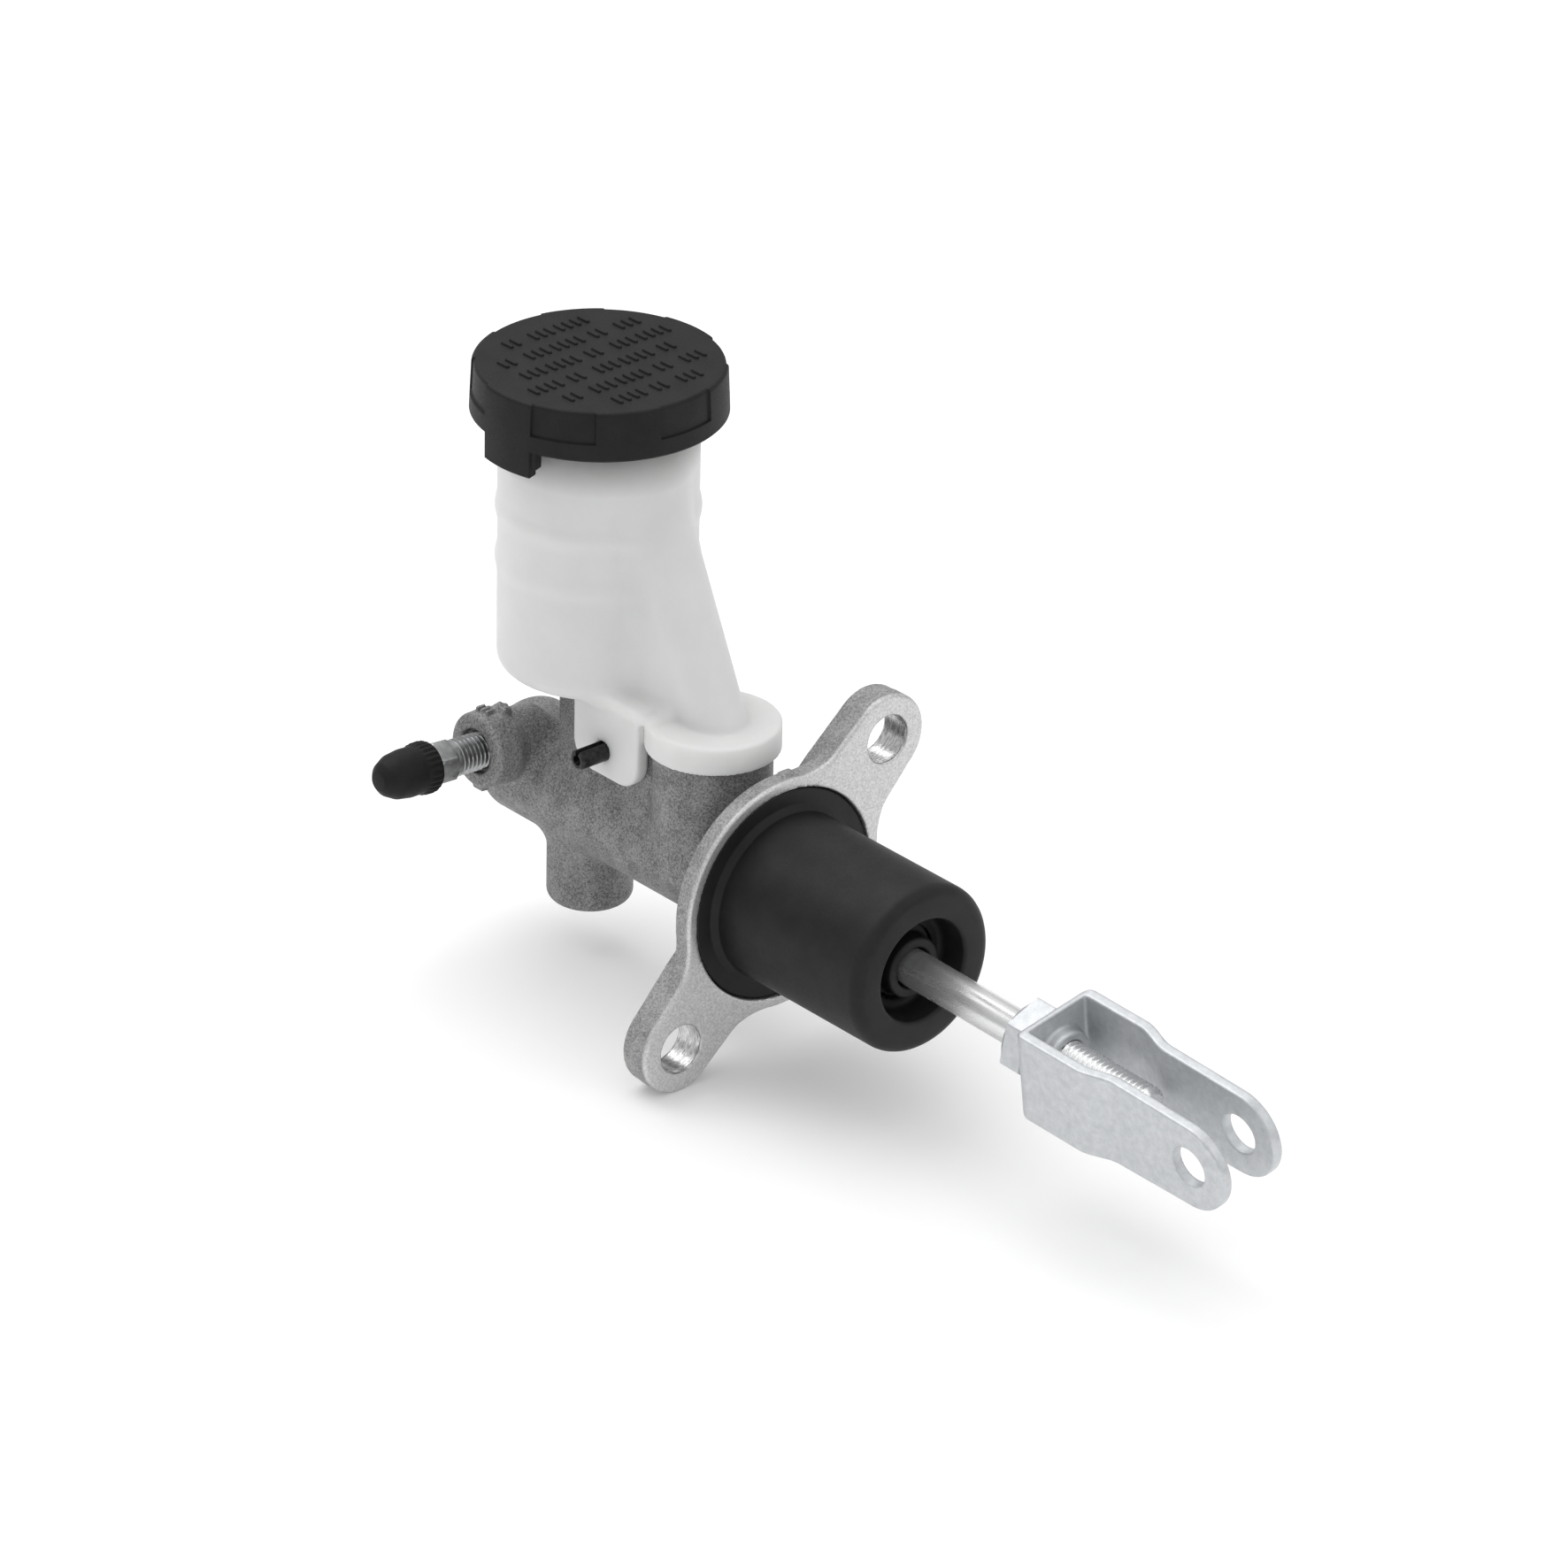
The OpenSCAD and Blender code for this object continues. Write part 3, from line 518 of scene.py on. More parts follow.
BARREL_R, BARREL_END, BARREL_FRONT = 11.7, -79.0, -1
FLANGE_R, FLANGE_T, EAR_T, EAR_PAD_FROM = 23.9, 4.0, 6.6, 16
EAR_R, EAR_ROOT_W, EAR_FILLET = 8.95, 9.7, 5.0
RIM_NUB_LOW, RIM_NUB_HIGH = (-3.4, 0.2, 22.5), (-1.2, 3.4, 24.6)
RIM_RECESS_R, RIM_RECESS_DEPTH = 21.75, 2.4
NOSE_R, NOSE_START, NOSE_END = 14.8, -3.2, 31.0
INLET_X, INLET_R, INLET_LOW, INLET_TOP = -21.2, 11.55, -2, 23.2
OUTLET_X, OUTLET_R, OUTLET_END = -57.0, 8.5, -24.0
LUG_LOW, LUG_HIGH, LUG_STEP = (-57.5, -8, -2), (-31, 8, 22.85), (-34.65, 8, 25.6)
PIN_X, PIN_Z, PIN_R, SUPPLY_X = -40.6, 17.8, 2.0, -16.0

# the bleed boss, in the bleed screw's own frame
BLEED_HEAD_R, BLEED_HEAD_LOW = 7.6, -6.2
BLEED_WAIST_R, BLEED_WAIST_LOW, BLEED_WAIST_HIGH = 6.4, -16, -3
BLEED_BARS, BAR_LOW, BAR_HIGH = (-0.6, 0.7, 2.0), (6.4, -0.35, -3.9), (8.4, 0.35, -1.6)
BLEED_NUB_LOW, BLEED_NUB_HIGH = (-8.5, -1.6, -3.0), (-6, 1.6, -1)
CRUST_LOW, CRUST_HIGH = (6.2, -2.4, -7.2), (8.6, 1.2, -4.6)
CRUST_RISE, CRUST_ACROSS, CRUST_ALONG = 0.25, 2.9, 3.3
BLEED_MOUTH_R, BLEED_MOUTH_LOW = 4.5, -1.4

# drilled and bored holes, each (radius, low, high) along its axis
BORE_HOLES = ((7.94, -72.0, 40), (10.2, 24.5, 40), (11, 26.25, 27.55))
INLET_HOLES = ((9, 12, 40),)
SUPPLY_HOLES = ((1.5, 2, 14),)
OUTLET_HOLES = ((4.5, -40, -13.5), (4.8, -15.6, -13.5), (3.2, -20, -9.6), (1.5, -12, -4))
BLEED_HOLES = ((3.75, -10, 10), (BLEED_MOUTH_R, BLEED_MOUTH_LOW, 10))

CAST_BOX, CAST_STEP = ((-80.5, -36, -36), (32.5, 36, 36)), 0.42
# the last is the margin round the bleed hole where the bright drilled-metal colour is left out, as painted shade
# in that recess
MASK_LEVEL, MASK_FADE, BLEED_SHADE_CLEAR = 1.3, 0.2, 1.0


def local(matrix, x, y, z):
    """Coordinates in the matrix's own frame."""
    m = np.array(matrix.inverted())
    return [m[i, 0] * x + m[i, 1] * y + m[i, 2] * z + m[i, 3] for i in range(3)]


def ear_place(y, z):
    """How far along an ear and across it; the two ears are alike."""
    along = np.abs(math.cos(EAR_TURN) * y + math.sin(EAR_TURN) * z)
    return along, np.abs(math.cos(EAR_TURN) * z - math.sin(EAR_TURN) * y)


def flange_distance(x, y, z):
    u, v = ear_place(y, z)
    reach = BOLTS["pcd_mm"] / 2
    width = EAR_ROOT_W + (EAR_R - EAR_ROOT_W) * np.clip((u - FLANGE_R) / (reach - FLANGE_R), 0, 1)
    ear = np.where(u < reach, v - width, hypot(u - reach, v) - EAR_R)
    disc = hypot(y, z) - FLANGE_R
    thin = rounded_slab(fillet(disc, ear, EAR_FILLET), np.abs(x + FLANGE_T / 2) - FLANGE_T / 2, edge=0.45)
    pad = rounded_slab(np.maximum(ear, EAR_PAD_FROM - u), np.abs(x + EAR_T / 2) - EAR_T / 2, edge=0.6)
    return fillet(thin, pad, radius=0.5)


def bleed_boss_distance(x, y, z):
    """Boss with a wider head, which carries three small bars, a patch of cast crust and a nub."""
    a, b, t = local(BLEED, x, y, z)
    radial = hypot(a, b)
    head = drum(radial, t, BLEED_HEAD_R, BLEED_HEAD_LOW, 0, edge=1.3)
    waist = drum(radial, t, BLEED_WAIST_R, BLEED_WAIST_LOW, BLEED_WAIST_HIGH, edge=2)
    boss = fillet(head, waist, radius=2.5)
    for bar in BLEED_BARS:
        boss = fillet(boss, block(a, b - bar, t, BAR_LOW, BAR_HIGH, edge=0.3), radius=0.15)
    waves = CRUST_RISE * np.sin(CRUST_ACROSS * b) * np.sin(CRUST_ALONG * t)
    boss = fillet(boss, block(a, b, t, CRUST_LOW, CRUST_HIGH, edge=0.7) + waves, radius=0.5)
    nub = block(a, b, t, BLEED_NUB_LOW, BLEED_NUB_HIGH, edge=0.5)
    return fillet(boss, nub, radius=0.4)


def bored(cuts, radial, along, holes, edge=0.1):
    """The cuts so far, and the round holes on one axis."""
    for radius, low, high in holes:
        cuts = np.minimum(cuts, drum(radial, along, radius, low, high, edge))
    return cuts


def machining_distance(x, y, z):
    """Everything that is drilled or bored: bolt holes, bore, ports and the pin's hole."""
    u, v = ear_place(y, z)
    cuts = hypot(u - BOLTS["pcd_mm"] / 2, v) - BOLTS["hole_r_mm"]
    cuts = bored(cuts, hypot(y, z), x, BORE_HOLES)
    cuts = bored(cuts, hypot(x - INLET_X, y), z, INLET_HOLES, edge=0.2)
    cuts = bored(cuts, hypot(x - SUPPLY_X, y), z, SUPPLY_HOLES)
    cuts = bored(cuts, hypot(x - OUTLET_X, y), z, OUTLET_HOLES)
    a, b, t = local(BLEED, x, y, z)
    cuts = bored(cuts, hypot(a, b), t, BLEED_HOLES)
    return np.minimum(cuts, hypot(x - PIN_X, z - PIN_Z) - PIN_R)


def casting_distance(x, y, z):
    bore_radial = hypot(y, z)
    body = drum(bore_radial, x, BARREL_R, BARREL_END, BARREL_FRONT, edge=4)
    outlet = drum(hypot(x - OUTLET_X, y), z, OUTLET_R, OUTLET_END, 0, edge=2.2)
    body = fillet(body, outlet, radius=2.5)
    lug = block(x, y, z, LUG_LOW, LUG_HIGH, edge=0.6)
    lug = np.minimum(lug, block(x, y, z, LUG_LOW, LUG_STEP, edge=0.9))
    body = fillet(body, lug, radius=2)
    inlet = drum(hypot(x - INLET_X, y), z, INLET_R, INLET_LOW, INLET_TOP, edge=0.5)
    body = fillet(body, inlet, radius=1.8)
    body = fillet(body, bleed_boss_distance(x, y, z), radius=3.2)
    body = fillet(body, flange_distance(x, y, z), radius=2.2)
    body = fillet(body, block(x, y, z, RIM_NUB_LOW, RIM_NUB_HIGH, edge=0.5), radius=0.4)
    recess = rounded_slab(bore_radial - RIM_RECESS_R, -RIM_RECESS_DEPTH - x, edge=0.1)
    body = carve(body, recess, radius=0.25)
    body = np.minimum(body, drum(bore_radial, x, NOSE_R, NOSE_START, NOSE_END, edge=1))
    return carve(body, machining_distance(x, y, z), radius=0.3)


def casting():
    obj = new_object("cast_body", surface(casting_distance, *CAST_BOX, CAST_STEP), [CAST], sharp=60)
    mask = obj.data.attributes.new("machined_with_bleed_shade", "FLOAT", "POINT")
    at = np.zeros(len(obj.data.vertices) * 3)
    obj.data.vertices.foreach_get("co", at)
    at = (at.reshape(-1, 3) / MM).T
    across, up, _ = local(BLEED, *at)
    bright = np.clip(MASK_LEVEL - np.abs(machining_distance(*at)) / MASK_FADE, 0, 1)
    # painted shade: in and round the bleed hole the bright drilled-metal colour is left out, so that recess keeps
    # the darker cast colour
    bright *= hypot(across, up) > BLEED_MOUTH_R + BLEED_SHADE_CLEAR
    mask.data.foreach_set("value", bright.astype(np.float32))
    piece(obj, "housing", "cast_aluminium", "cylinder_body")


casting()

# ---- reservoir -------------------------------------------------------------

TANK_R, TANK_LOW, TANK_TOP, TANK_RIM_H, WALL = 19.35, 27.7, 87.2, 8, 2.2
RIBS, RIB_R, RIB_RISE = (50.7, 61.5), 4.0, 0.45
RING_R, RING_LOW, RING_TOP = 13.1, 23.25, 28.9
DUCT_LOW, DUCT_HIGH, DUCT_R_LOW, DUCT_R_HIGH = (-21.3, 28.85), (-46.6, 77.0), 6.3, 7.6
DUCT_SUNK = 3.4                          # how far the duct reaches down into the foot ring
TAB_LOW, TAB_HIGH, TAB_IN, TAB_OUT, TAB_CORNER = (-49.3, 12.4), (-30.4, 29.6), 8.2, 11.1, 5.5
SHELF_LOW, SHELF_HIGH = (-50, -11.1, 27.7), (-26, 11.1, 29.3)
SPIGOT_R, SPIGOT_LOW, SPIGOT_HIGH = 5.6, 14.5, RING_LOW + 2
SPIGOT_HOLE_R, SPIGOT_HOLE_LOW, ABOVE_TANK, PIN_PLAY = 3.8, 10, TANK_TOP + 20, 0.03
TANK_BOX, TANK_STEP = ((-77.5, -21, 11), (-6, 21, 88.5)), 0.5


def duct_distance(x, y, z, inset):
    """Sloping duct with a round nose; behind its axis its sides run straight back to the tank."""
    along = Vector((DUCT_HIGH[0] - DUCT_LOW[0], DUCT_HIGH[1] - DUCT_LOW[1]))
    length = along.length
    dx, dz = along / length
    t = (x - DUCT_LOW[0]) * dx + (z - DUCT_LOW[1]) * dz
    ahead = (x - DUCT_LOW[0]) * dz - (z - DUCT_LOW[1]) * dx
    radius = DUCT_R_LOW + (DUCT_R_HIGH - DUCT_R_LOW) * np.clip(t / length, 0, 1) - inset
    round_nose = hypot(np.maximum(ahead, 0), y) - radius
    low_cut = RING_TOP - DUCT_SUNK + inset - z
    sides = rounded_slab(round_nose, TANK_X - x, edge=0.2)
    return rounded_slab(sides, np.maximum(low_cut, z - DUCT_HIGH[1]), edge=0.3)


def tab_distance(x, y, z):
    """The two tabs that the pin goes through, their lower corners rounded."""
    across = np.abs(np.abs(y) - (TAB_IN + TAB_OUT) / 2) - (TAB_OUT - TAB_IN) / 2
    middle, half = (TAB_LOW[0] + TAB_HIGH[0]) / 2, (TAB_HIGH[0] - TAB_LOW[0]) / 2
    plate = rounded_slab(np.abs(x - middle) - half, TAB_LOW[1] - z, TAB_CORNER)
    return rounded_slab(across, np.maximum(plate, z - TAB_HIGH[1]), edge=0.5)


def reservoir_distance(x, y, z):
    radial, foot_radial = hypot(x - TANK_X, y), hypot(x - INLET_X, y)
    tank = drum(radial, z, TANK_R, TANK_LOW, TANK_TOP, edge=3.2)
    tank = np.minimum(tank, drum(radial, z, TANK_R, TANK_TOP - TANK_RIM_H, TANK_TOP, edge=0.4))
    for rib in RIBS:
        bead = hypot(radial - (TANK_R + RIB_RISE - RIB_R), z - rib) - RIB_R
        tank = fillet(tank, bead, radius=0.6)
    body = fillet(tank, duct_distance(x, y, z, 0), radius=3)
    body = fillet(body, block(x, y, z, SHELF_LOW, SHELF_HIGH, edge=0.5), radius=3)
    body = fillet(body, tab_distance(x, y, z), radius=1.6)
    ring = rounded_slab(foot_radial - RING_R, z - RING_TOP, edge=0.6)
    body = fillet(body, np.maximum(ring, RING_LOW - z), radius=0.5)
    body = np.minimum(body, drum(foot_radial, z, SPIGOT_R, SPIGOT_LOW, SPIGOT_HIGH, edge=0.4))
    cavity = drum(radial, z, TANK_R - WALL, TANK_LOW + WALL, ABOVE_TANK, edge=2)
    cavity = np.minimum(cavity, duct_distance(x, y, z, WALL))
    passage = drum(foot_radial, z, SPIGOT_HOLE_R, SPIGOT_HOLE_LOW, RING_TOP, edge=0.3)
    body = carve(body, np.minimum(cavity, passage), radius=0.3)
    pin = hypot(x - PIN_X, z - PIN_Z) - PIN_R - PIN_PLAY
    return np.maximum(carve(body, pin, radius=0.2), z - TANK_TOP)


def reservoir():
    obj = new_object("reservoir_tank", surface(reservoir_distance, *TANK_BOX, TANK_STEP), [MILKY], sharp=60)
    piece(obj, "housing", "milky_plastic", "reservoir")


reservoir()

PIN_WALL, PIN_CHAMFER, PIN_STEPS = 0.95, 0.4, 49
PIN_HALF_SLOT = 0.3                      # in radians


def spring_pin():
    """Rolled pin with a slot along it and chamfered ends."""
    low, high = box_mm("reservoir_pin")
    inner, end = PIN_R - PIN_WALL, PIN_R - PIN_CHAMFER
    profile = ((inner, low.y), (end, low.y), (PIN_R, low.y + PIN_CHAMFER),
               (PIN_R, high.y - PIN_CHAMFER), (end, high.y), (inner, high.y))
    angles = np.linspace(PIN_HALF_SLOT, 2 * math.pi - PIN_HALF_SLOT, PIN_STEPS) + math.pi / 2
    c, s = np.cos(angles), np.sin(angles)
    rows = [np.stack([PIN_X + r * c, np.full(PIN_STEPS, y), PIN_Z + r * s], 1) for r, y in profile]
    rows.append(rows[0])
    first = [k * PIN_STEPS for k in range(len(profile))]
    last = [k + PIN_STEPS - 1 for k in reversed(first)]
    faces = grid_faces(len(rows), PIN_STEPS, wrap=False) + [tuple(first), tuple(last)]
    obj = new_object("spring_pin", (np.concatenate(rows), faces), [BLACK_STEEL])
    piece(obj, "housing", "black_steel", "reservoir_pin")


spring_pin()

# ---- cap -------------------------------------------------------------------

CAP_R, CAP_TOP, CAP_H, CAP_PLATE, CAP_INNER_R = 24.8, 91.35, 9.95, 2.6, 21.4
CAP_BOTTOM = CAP_TOP - CAP_H
CAP_DRAFT, CAP_EDGE, CAP_EDGE_STEPS, FOOT_BEVEL, MOUTH_BEVEL = 0.4, 0.8, 5, 0.4, 0.3
TOP_RINGS, EDGE_RING, TURN_STEP = (0.0, 8.0, 16.0), 0.6, 2.0
PAD_DEPTH, PAD_H, PAD_START, PAD_SPAN, PAD_GAP, PAD_BEVEL = 0.45, 6.4, 48, 30, 0.25, 0.12
TAB_SPAN, TAB_DROP, TAB_INSET, CAP_TAB_IN, TAB_RISE = (258, 288), 5.3, 0.1, 22.3, 0.6
HOOK_SPAN, HOOK_DROP, HOOK_INSET = (287.6, 291), 3.4, 0.4
ROWS, ROW_PITCH, ROW_SHIFT, GROUPS_ASIDE, GROUP_PITCH, STROKE_CLEAR = 6, 6.4, 1.1, 2, 7.4, 3.4
STROKE_LEN, STROKE_W, STROKE_PITCH, STROKE_SIDES = 3.2, 0.8, 2.0, 16
STROKE_RISE, STROKE_SLOPE, STROKE_SKIRT, STROKE_SUNK = 0.4, 0.1, 0.02, 0.2


def cap_angles():
    """Even steps round the cap, with a close pair at each pad's edge."""
    edges = [PAD_START + PAD_SPAN * k + d for k in range(360 // PAD_SPAN) for d in (-PAD_GAP, PAD_GAP)]
    even = np.arange(TURN_STEP / 4, 360, TURN_STEP)
    return np.radians(sorted({*even, *(e % 360 for e in edges)}))


def cap_shell():
    """The cap, turned from a profile of (radius, height, share of the pads' depth)."""
    angles = cap_angles()
    sunk = ((np.degrees(angles) - PAD_START) % (2 * PAD_SPAN)) < PAD_SPAN

    def outer(z):
        return CAP_R - CAP_DRAFT * (z - CAP_BOTTOM) / CAP_H

    profile = [(r, CAP_TOP, 0) for r in (*TOP_RINGS, CAP_R - CAP_DRAFT - CAP_EDGE - EDGE_RING)]
    for k in range(CAP_EDGE_STEPS + 1):
        a = math.pi / 2 * k / CAP_EDGE_STEPS
        r, z = outer(CAP_TOP) - CAP_EDGE * (1 - math.sin(a)), CAP_TOP - CAP_EDGE * (1 - math.cos(a))
        profile.append((r, z, 1))
    ledge, foot = CAP_TOP - PAD_H, CAP_BOTTOM + FOOT_BEVEL
    profile += [(outer(ledge + PAD_BEVEL), ledge + PAD_BEVEL, 1), (outer(ledge), ledge, 0),
                (outer(foot), foot, 0), (outer(CAP_BOTTOM) - FOOT_BEVEL, CAP_BOTTOM, 0),
                (CAP_INNER_R + MOUTH_BEVEL, CAP_BOTTOM, 0), (CAP_INNER_R, CAP_BOTTOM + MOUTH_BEVEL, 0),
                (CAP_INNER_R, CAP_TOP - CAP_PLATE, 0), (0.0, CAP_TOP - CAP_PLATE, 0)]
    rows = []
    for r, z, pad in profile:
        rr = np.full(len(angles), r) - pad * sunk * PAD_DEPTH
        rows.append(np.stack([rr * np.cos(angles), rr * np.sin(angles), np.full(len(angles), z)], 1))
    return np.concatenate(rows), grid_faces(len(profile), len(angles))


def arc_block(span, inner, outer, low, high, edge=0.3):
    """A block bent round the cap's axis, its edges bevelled."""
    section = [(inner, low + edge), (inner + edge, low), (outer - edge, low), (outer, low + edge),
               (outer, high), (inner, high)]
    rows = []
    steps = max(3, int((span[1] - span[0]) / TURN_STEP))
    turn = math.degrees(edge / outer)
    stops = [(span[0], edge), (span[0] + turn, 0)]
    stops += [(span[0] + (span[1] - span[0]) * k / steps, 0) for k in range(1, steps)]
    stops += [(span[1] - turn, 0), (span[1], edge)]
    for angle, shrink in stops:
        c, s = math.cos(math.radians(angle)), math.sin(math.radians(angle))
        for r, z in section:
            r = min(max(r, inner + shrink), outer - shrink)
            rows.append((r * c, r * s, max(z, low + shrink)))
    n = len(section)
    faces = grid_faces(len(stops), n)
    last = (len(stops) - 1) * n
    return np.array(rows), faces + [tuple(range(n)), tuple(range(last + n - 1, last - 1, -1))]


def raised_stroke(x, y):
    """A plain raised stroke across a row, with sloping sides."""
    top = CAP_TOP + STROKE_RISE
    levels = ((STROKE_SLOPE, CAP_TOP - STROKE_SUNK), (STROKE_SLOPE, CAP_TOP + STROKE_SKIRT),
              (0, top - STROKE_SLOPE), (-STROKE_SLOPE, top))
    end = (STROKE_LEN - STROKE_W) / 2
    rows = []
    for grow, z in levels:
        half = STROKE_W / 2 + grow
        for k in range(STROKE_SIDES):
            a = 2 * math.pi * (k + 0.5) / STROKE_SIDES
            rows.append((x + half * math.cos(a) + math.copysign(end, math.cos(a)), y + half * math.sin(a), z))
    under = tuple(range(STROKE_SIDES - 1, -1, -1))
    over = tuple(range(len(rows) - STROKE_SIDES, len(rows)))
    return np.array(rows), grid_faces(len(levels), STROKE_SIDES) + [under, over]


def cap_strokes():
    """Rows of plain strokes in groups of two to four, in place of lettering."""
    strokes = []
    for row in range(ROWS):
        across = (row - (ROWS - 1) / 2) * ROW_PITCH
        for place in range(-GROUPS_ASIDE, GROUPS_ASIDE + 1):
            y = place * GROUP_PITCH + ROW_SHIFT * (row % 3 - 1)
            count = 2 + (row + place + 4) % 3
            if math.hypot(across, y) + count * STROKE_PITCH / 2 < CAP_R - STROKE_CLEAR:
                spots = [y + (k - (count - 1) / 2) * STROKE_PITCH for k in range(count)]
                strokes += [raised_stroke(across, spot) for spot in spots]
    return strokes


def cap():
    tab_top = CAP_BOTTOM + TAB_RISE
    tab = arc_block(TAB_SPAN, CAP_TAB_IN, CAP_R - TAB_INSET, CAP_BOTTOM - TAB_DROP, tab_top)
    hook = arc_block(HOOK_SPAN, CAP_TAB_IN, CAP_R - HOOK_INSET, CAP_BOTTOM - HOOK_DROP, tab_top)
    shape = placed(joined(cap_shell(), tab, hook, *cap_strokes()), Matrix.Translation((TANK_X, 0, 0)))
    piece(new_object("screw_cap", shape, [CAP_PLASTIC], sharp=30), "cap", "black_plastic", "reservoir_cap")


cap()

# ---- bleed screw and its rubber cap ----------------------------------------

BLEED_THREAD_R, BLEED_THREAD_DEPTH, BLEED_PITCH, BLEED_AF = 3.7, 0.8, 1.0, 8.0
THREAD_LOW, THREAD_OUT, HEX_LOW, HEX_HIGH, NIPPLE_END = -9.8, 5.9, 6.9, 11.2, 20.5
THREAD_HIGH = THREAD_OUT - 0.1
COVER_START, COVER_END, COVER_MOUTH_R = 11.5, 24.1, 3.35
COVER_RIBS, RIB_DEPTH, RIB_LEN, RIBBED_FROM_R = 28, 0.28, 3, 4.9


def hexagon(af, angles, turn=0.0):
    """Radius of a hexagon at each angle."""
    a = (angles + turn) % (math.pi / 3) - math.pi / 6
    return af / 2 / np.cos(a)


def bleed_screw():
    thread = thread_radius(BLEED_THREAD_R, BLEED_THREAD_DEPTH, BLEED_PITCH, THREAD_LOW, THREAD_HIGH)

    def radius(r, h, angles):
        if HEX_LOW <= h <= HEX_HIGH and r > BLEED_THREAD_R:
            return np.minimum(hexagon(BLEED_AF, angles), r)
        return thread(r, h, angles)

    profile = [(0, -11.8), (1.4, -11.8), (3.0, -10), (3.2, -9.9)]
    profile += thread_profile(THREAD_LOW, THREAD_HIGH, BLEED_PITCH)
    profile += [(BLEED_THREAD_R, THREAD_OUT), (BLEED_THREAD_R, HEX_LOW - 0.2), (3.6, HEX_LOW - 0.1),
                (4.0, HEX_LOW), (4.62, HEX_LOW + 0.7), (4.62, HEX_HIGH - 0.4), (4.2, HEX_HIGH),
                (3.0, HEX_HIGH + 0.01), (2.5, HEX_HIGH + 0.1), (2.5, NIPPLE_END - 4),
                (3.2, NIPPLE_END - 3.99), (2.4, NIPPLE_END), (1.0, NIPPLE_END), (1.0, -8), (0, -8)]
    shape = placed(lathe(profile, 96, radius), BLEED)
    piece(new_object("bleed_nipple", shape, [BRIGHT], sharp=28), "bleeder", "plated_steel", "bleed_screw")


def bleed_cap():
    """Rubber cap with a ribbed grip round its mouth."""
    bottom = NIPPLE_END + 0.5

    def radius(r, h, angles):
        ribbed = (r > RIBBED_FROM_R) & (h < COVER_START + RIB_LEN)
        return r - ribbed * RIB_DEPTH * (0.5 + 0.5 * np.cos(COVER_RIBS * angles))

    profile = rounded([
        (COVER_MOUTH_R, bottom), (COVER_MOUTH_R, COVER_START), (4.95, COVER_START, 0.3),
        (5.25, COVER_START + 0.8, 0.5), (5.2, COVER_START + 2.8, 0.6), (4.8, COVER_START + 3.6, 0.5),
        (4.85, COVER_START + 6, 2), (4.45, COVER_END - 3.6, 2), (3.3, COVER_END - 1.3, 1.2),
        (2.0, COVER_END - 0.2, 0.9), (0, COVER_END)])
    shape = placed(lathe([(0, bottom)] + profile, 168, radius), BLEED)
    piece(new_object("bleed_cover", shape, [RUBBER], sharp=40), "bleeder_cap", "rubber", "bleed_cap")


bleed_screw()
bleed_cap()

# ---- dust boot -------------------------------------------------------------

BOOT_R, BOOT_FRONT, BOOT_RIM_R, BOOT_MOUTH_R = 17.0, 39.5, 21.5, 10.4
BOOT_RIM_BACK, BOOT_RIM_FRONT = -2.3, -0.35
LIP_SHIFT, LIP_R, LIP_HOLE_R, LIP_END, WEB = (0.47, -0.87), 6.15, 4.1, 36.4, (31.2, 33.0)


def dust_boot():
    """Boot with a deep mouth, and in it a lip round the push rod, off centre because the rod droops."""
    inner = NOSE_R + SNUG
    profile = rounded([
        (LIP_R + 1.0, WEB[0]), (inner, WEB[0]), (inner, BOOT_RIM_BACK), (BOOT_RIM_R, BOOT_RIM_BACK),
        (BOOT_RIM_R, BOOT_RIM_FRONT, 0.45), (BOOT_R + 1.3, BOOT_RIM_FRONT, 0.6), (BOOT_R, 0.6, 0.6),
        (BOOT_R, BOOT_FRONT, 2.4), (BOOT_MOUTH_R, BOOT_FRONT, 0.8), (BOOT_MOUTH_R - 0.3, WEB[1], 1.4),
        (LIP_R + 1.0, WEB[1])])
    outer = placed(lathe(profile + profile[:1], 192), BORE)
    lip = rounded([
        (LIP_R + 1.6, WEB[0]), (LIP_HOLE_R, WEB[0]), (LIP_HOLE_R, LIP_END, 0.5), (LIP_R, LIP_END, 0.6),
        (LIP_R, WEB[1], 0.6), (LIP_R + 1.6, WEB[1])])
    lip_shape = placed(lathe(lip + lip[:1], 128), Matrix.Translation((0, *LIP_SHIFT)) @ BORE)
    obj = new_object("rubber_boot", joined(outer, lip_shape), [BOOT_RUBBER], sharp=40)
    piece(obj, "housing", "boot_rubber", "dust_boot")


dust_boot()

# ---- push rod, lock nut and clevis -----------------------------------------

BALL_R, ROD_R, ROD_THREAD_R, ROD_THREAD_DEPTH, ROD_PITCH = 5, 3.65, 3.9, 0.68, 1.25
THREAD_START, ROD_END = 47.2, 79.5
NUT_AF, NUT_LOW, NUT_HIGH, NUT_TURN, NUT_FACE_R = 14.0, 46.8, 53.1, math.radians(9.3), 6.6


def push_rod():
    turns = np.linspace(0, math.pi - math.asin(ROD_R / BALL_R), 24)
    ball = [(BALL_R * math.sin(a), -BALL_R * math.cos(a)) for a in turns]
    thread = thread_radius(ROD_THREAD_R, ROD_THREAD_DEPTH, ROD_PITCH, THREAD_START, ROD_END - 0.4)
    profile = ball + [(ROD_R, THREAD_START - 0.6)]
    profile += thread_profile(THREAD_START, ROD_END - 0.7, ROD_PITCH)
    profile += [(ROD_THREAD_R - 1, ROD_END), (0, ROD_END)]
    shape = placed(lathe(profile, 96, thread), ROD)
    piece(new_object("threaded_rod", shape, [ROD_ZINC], sharp=28), "rod", "plated_steel", "push_rod")


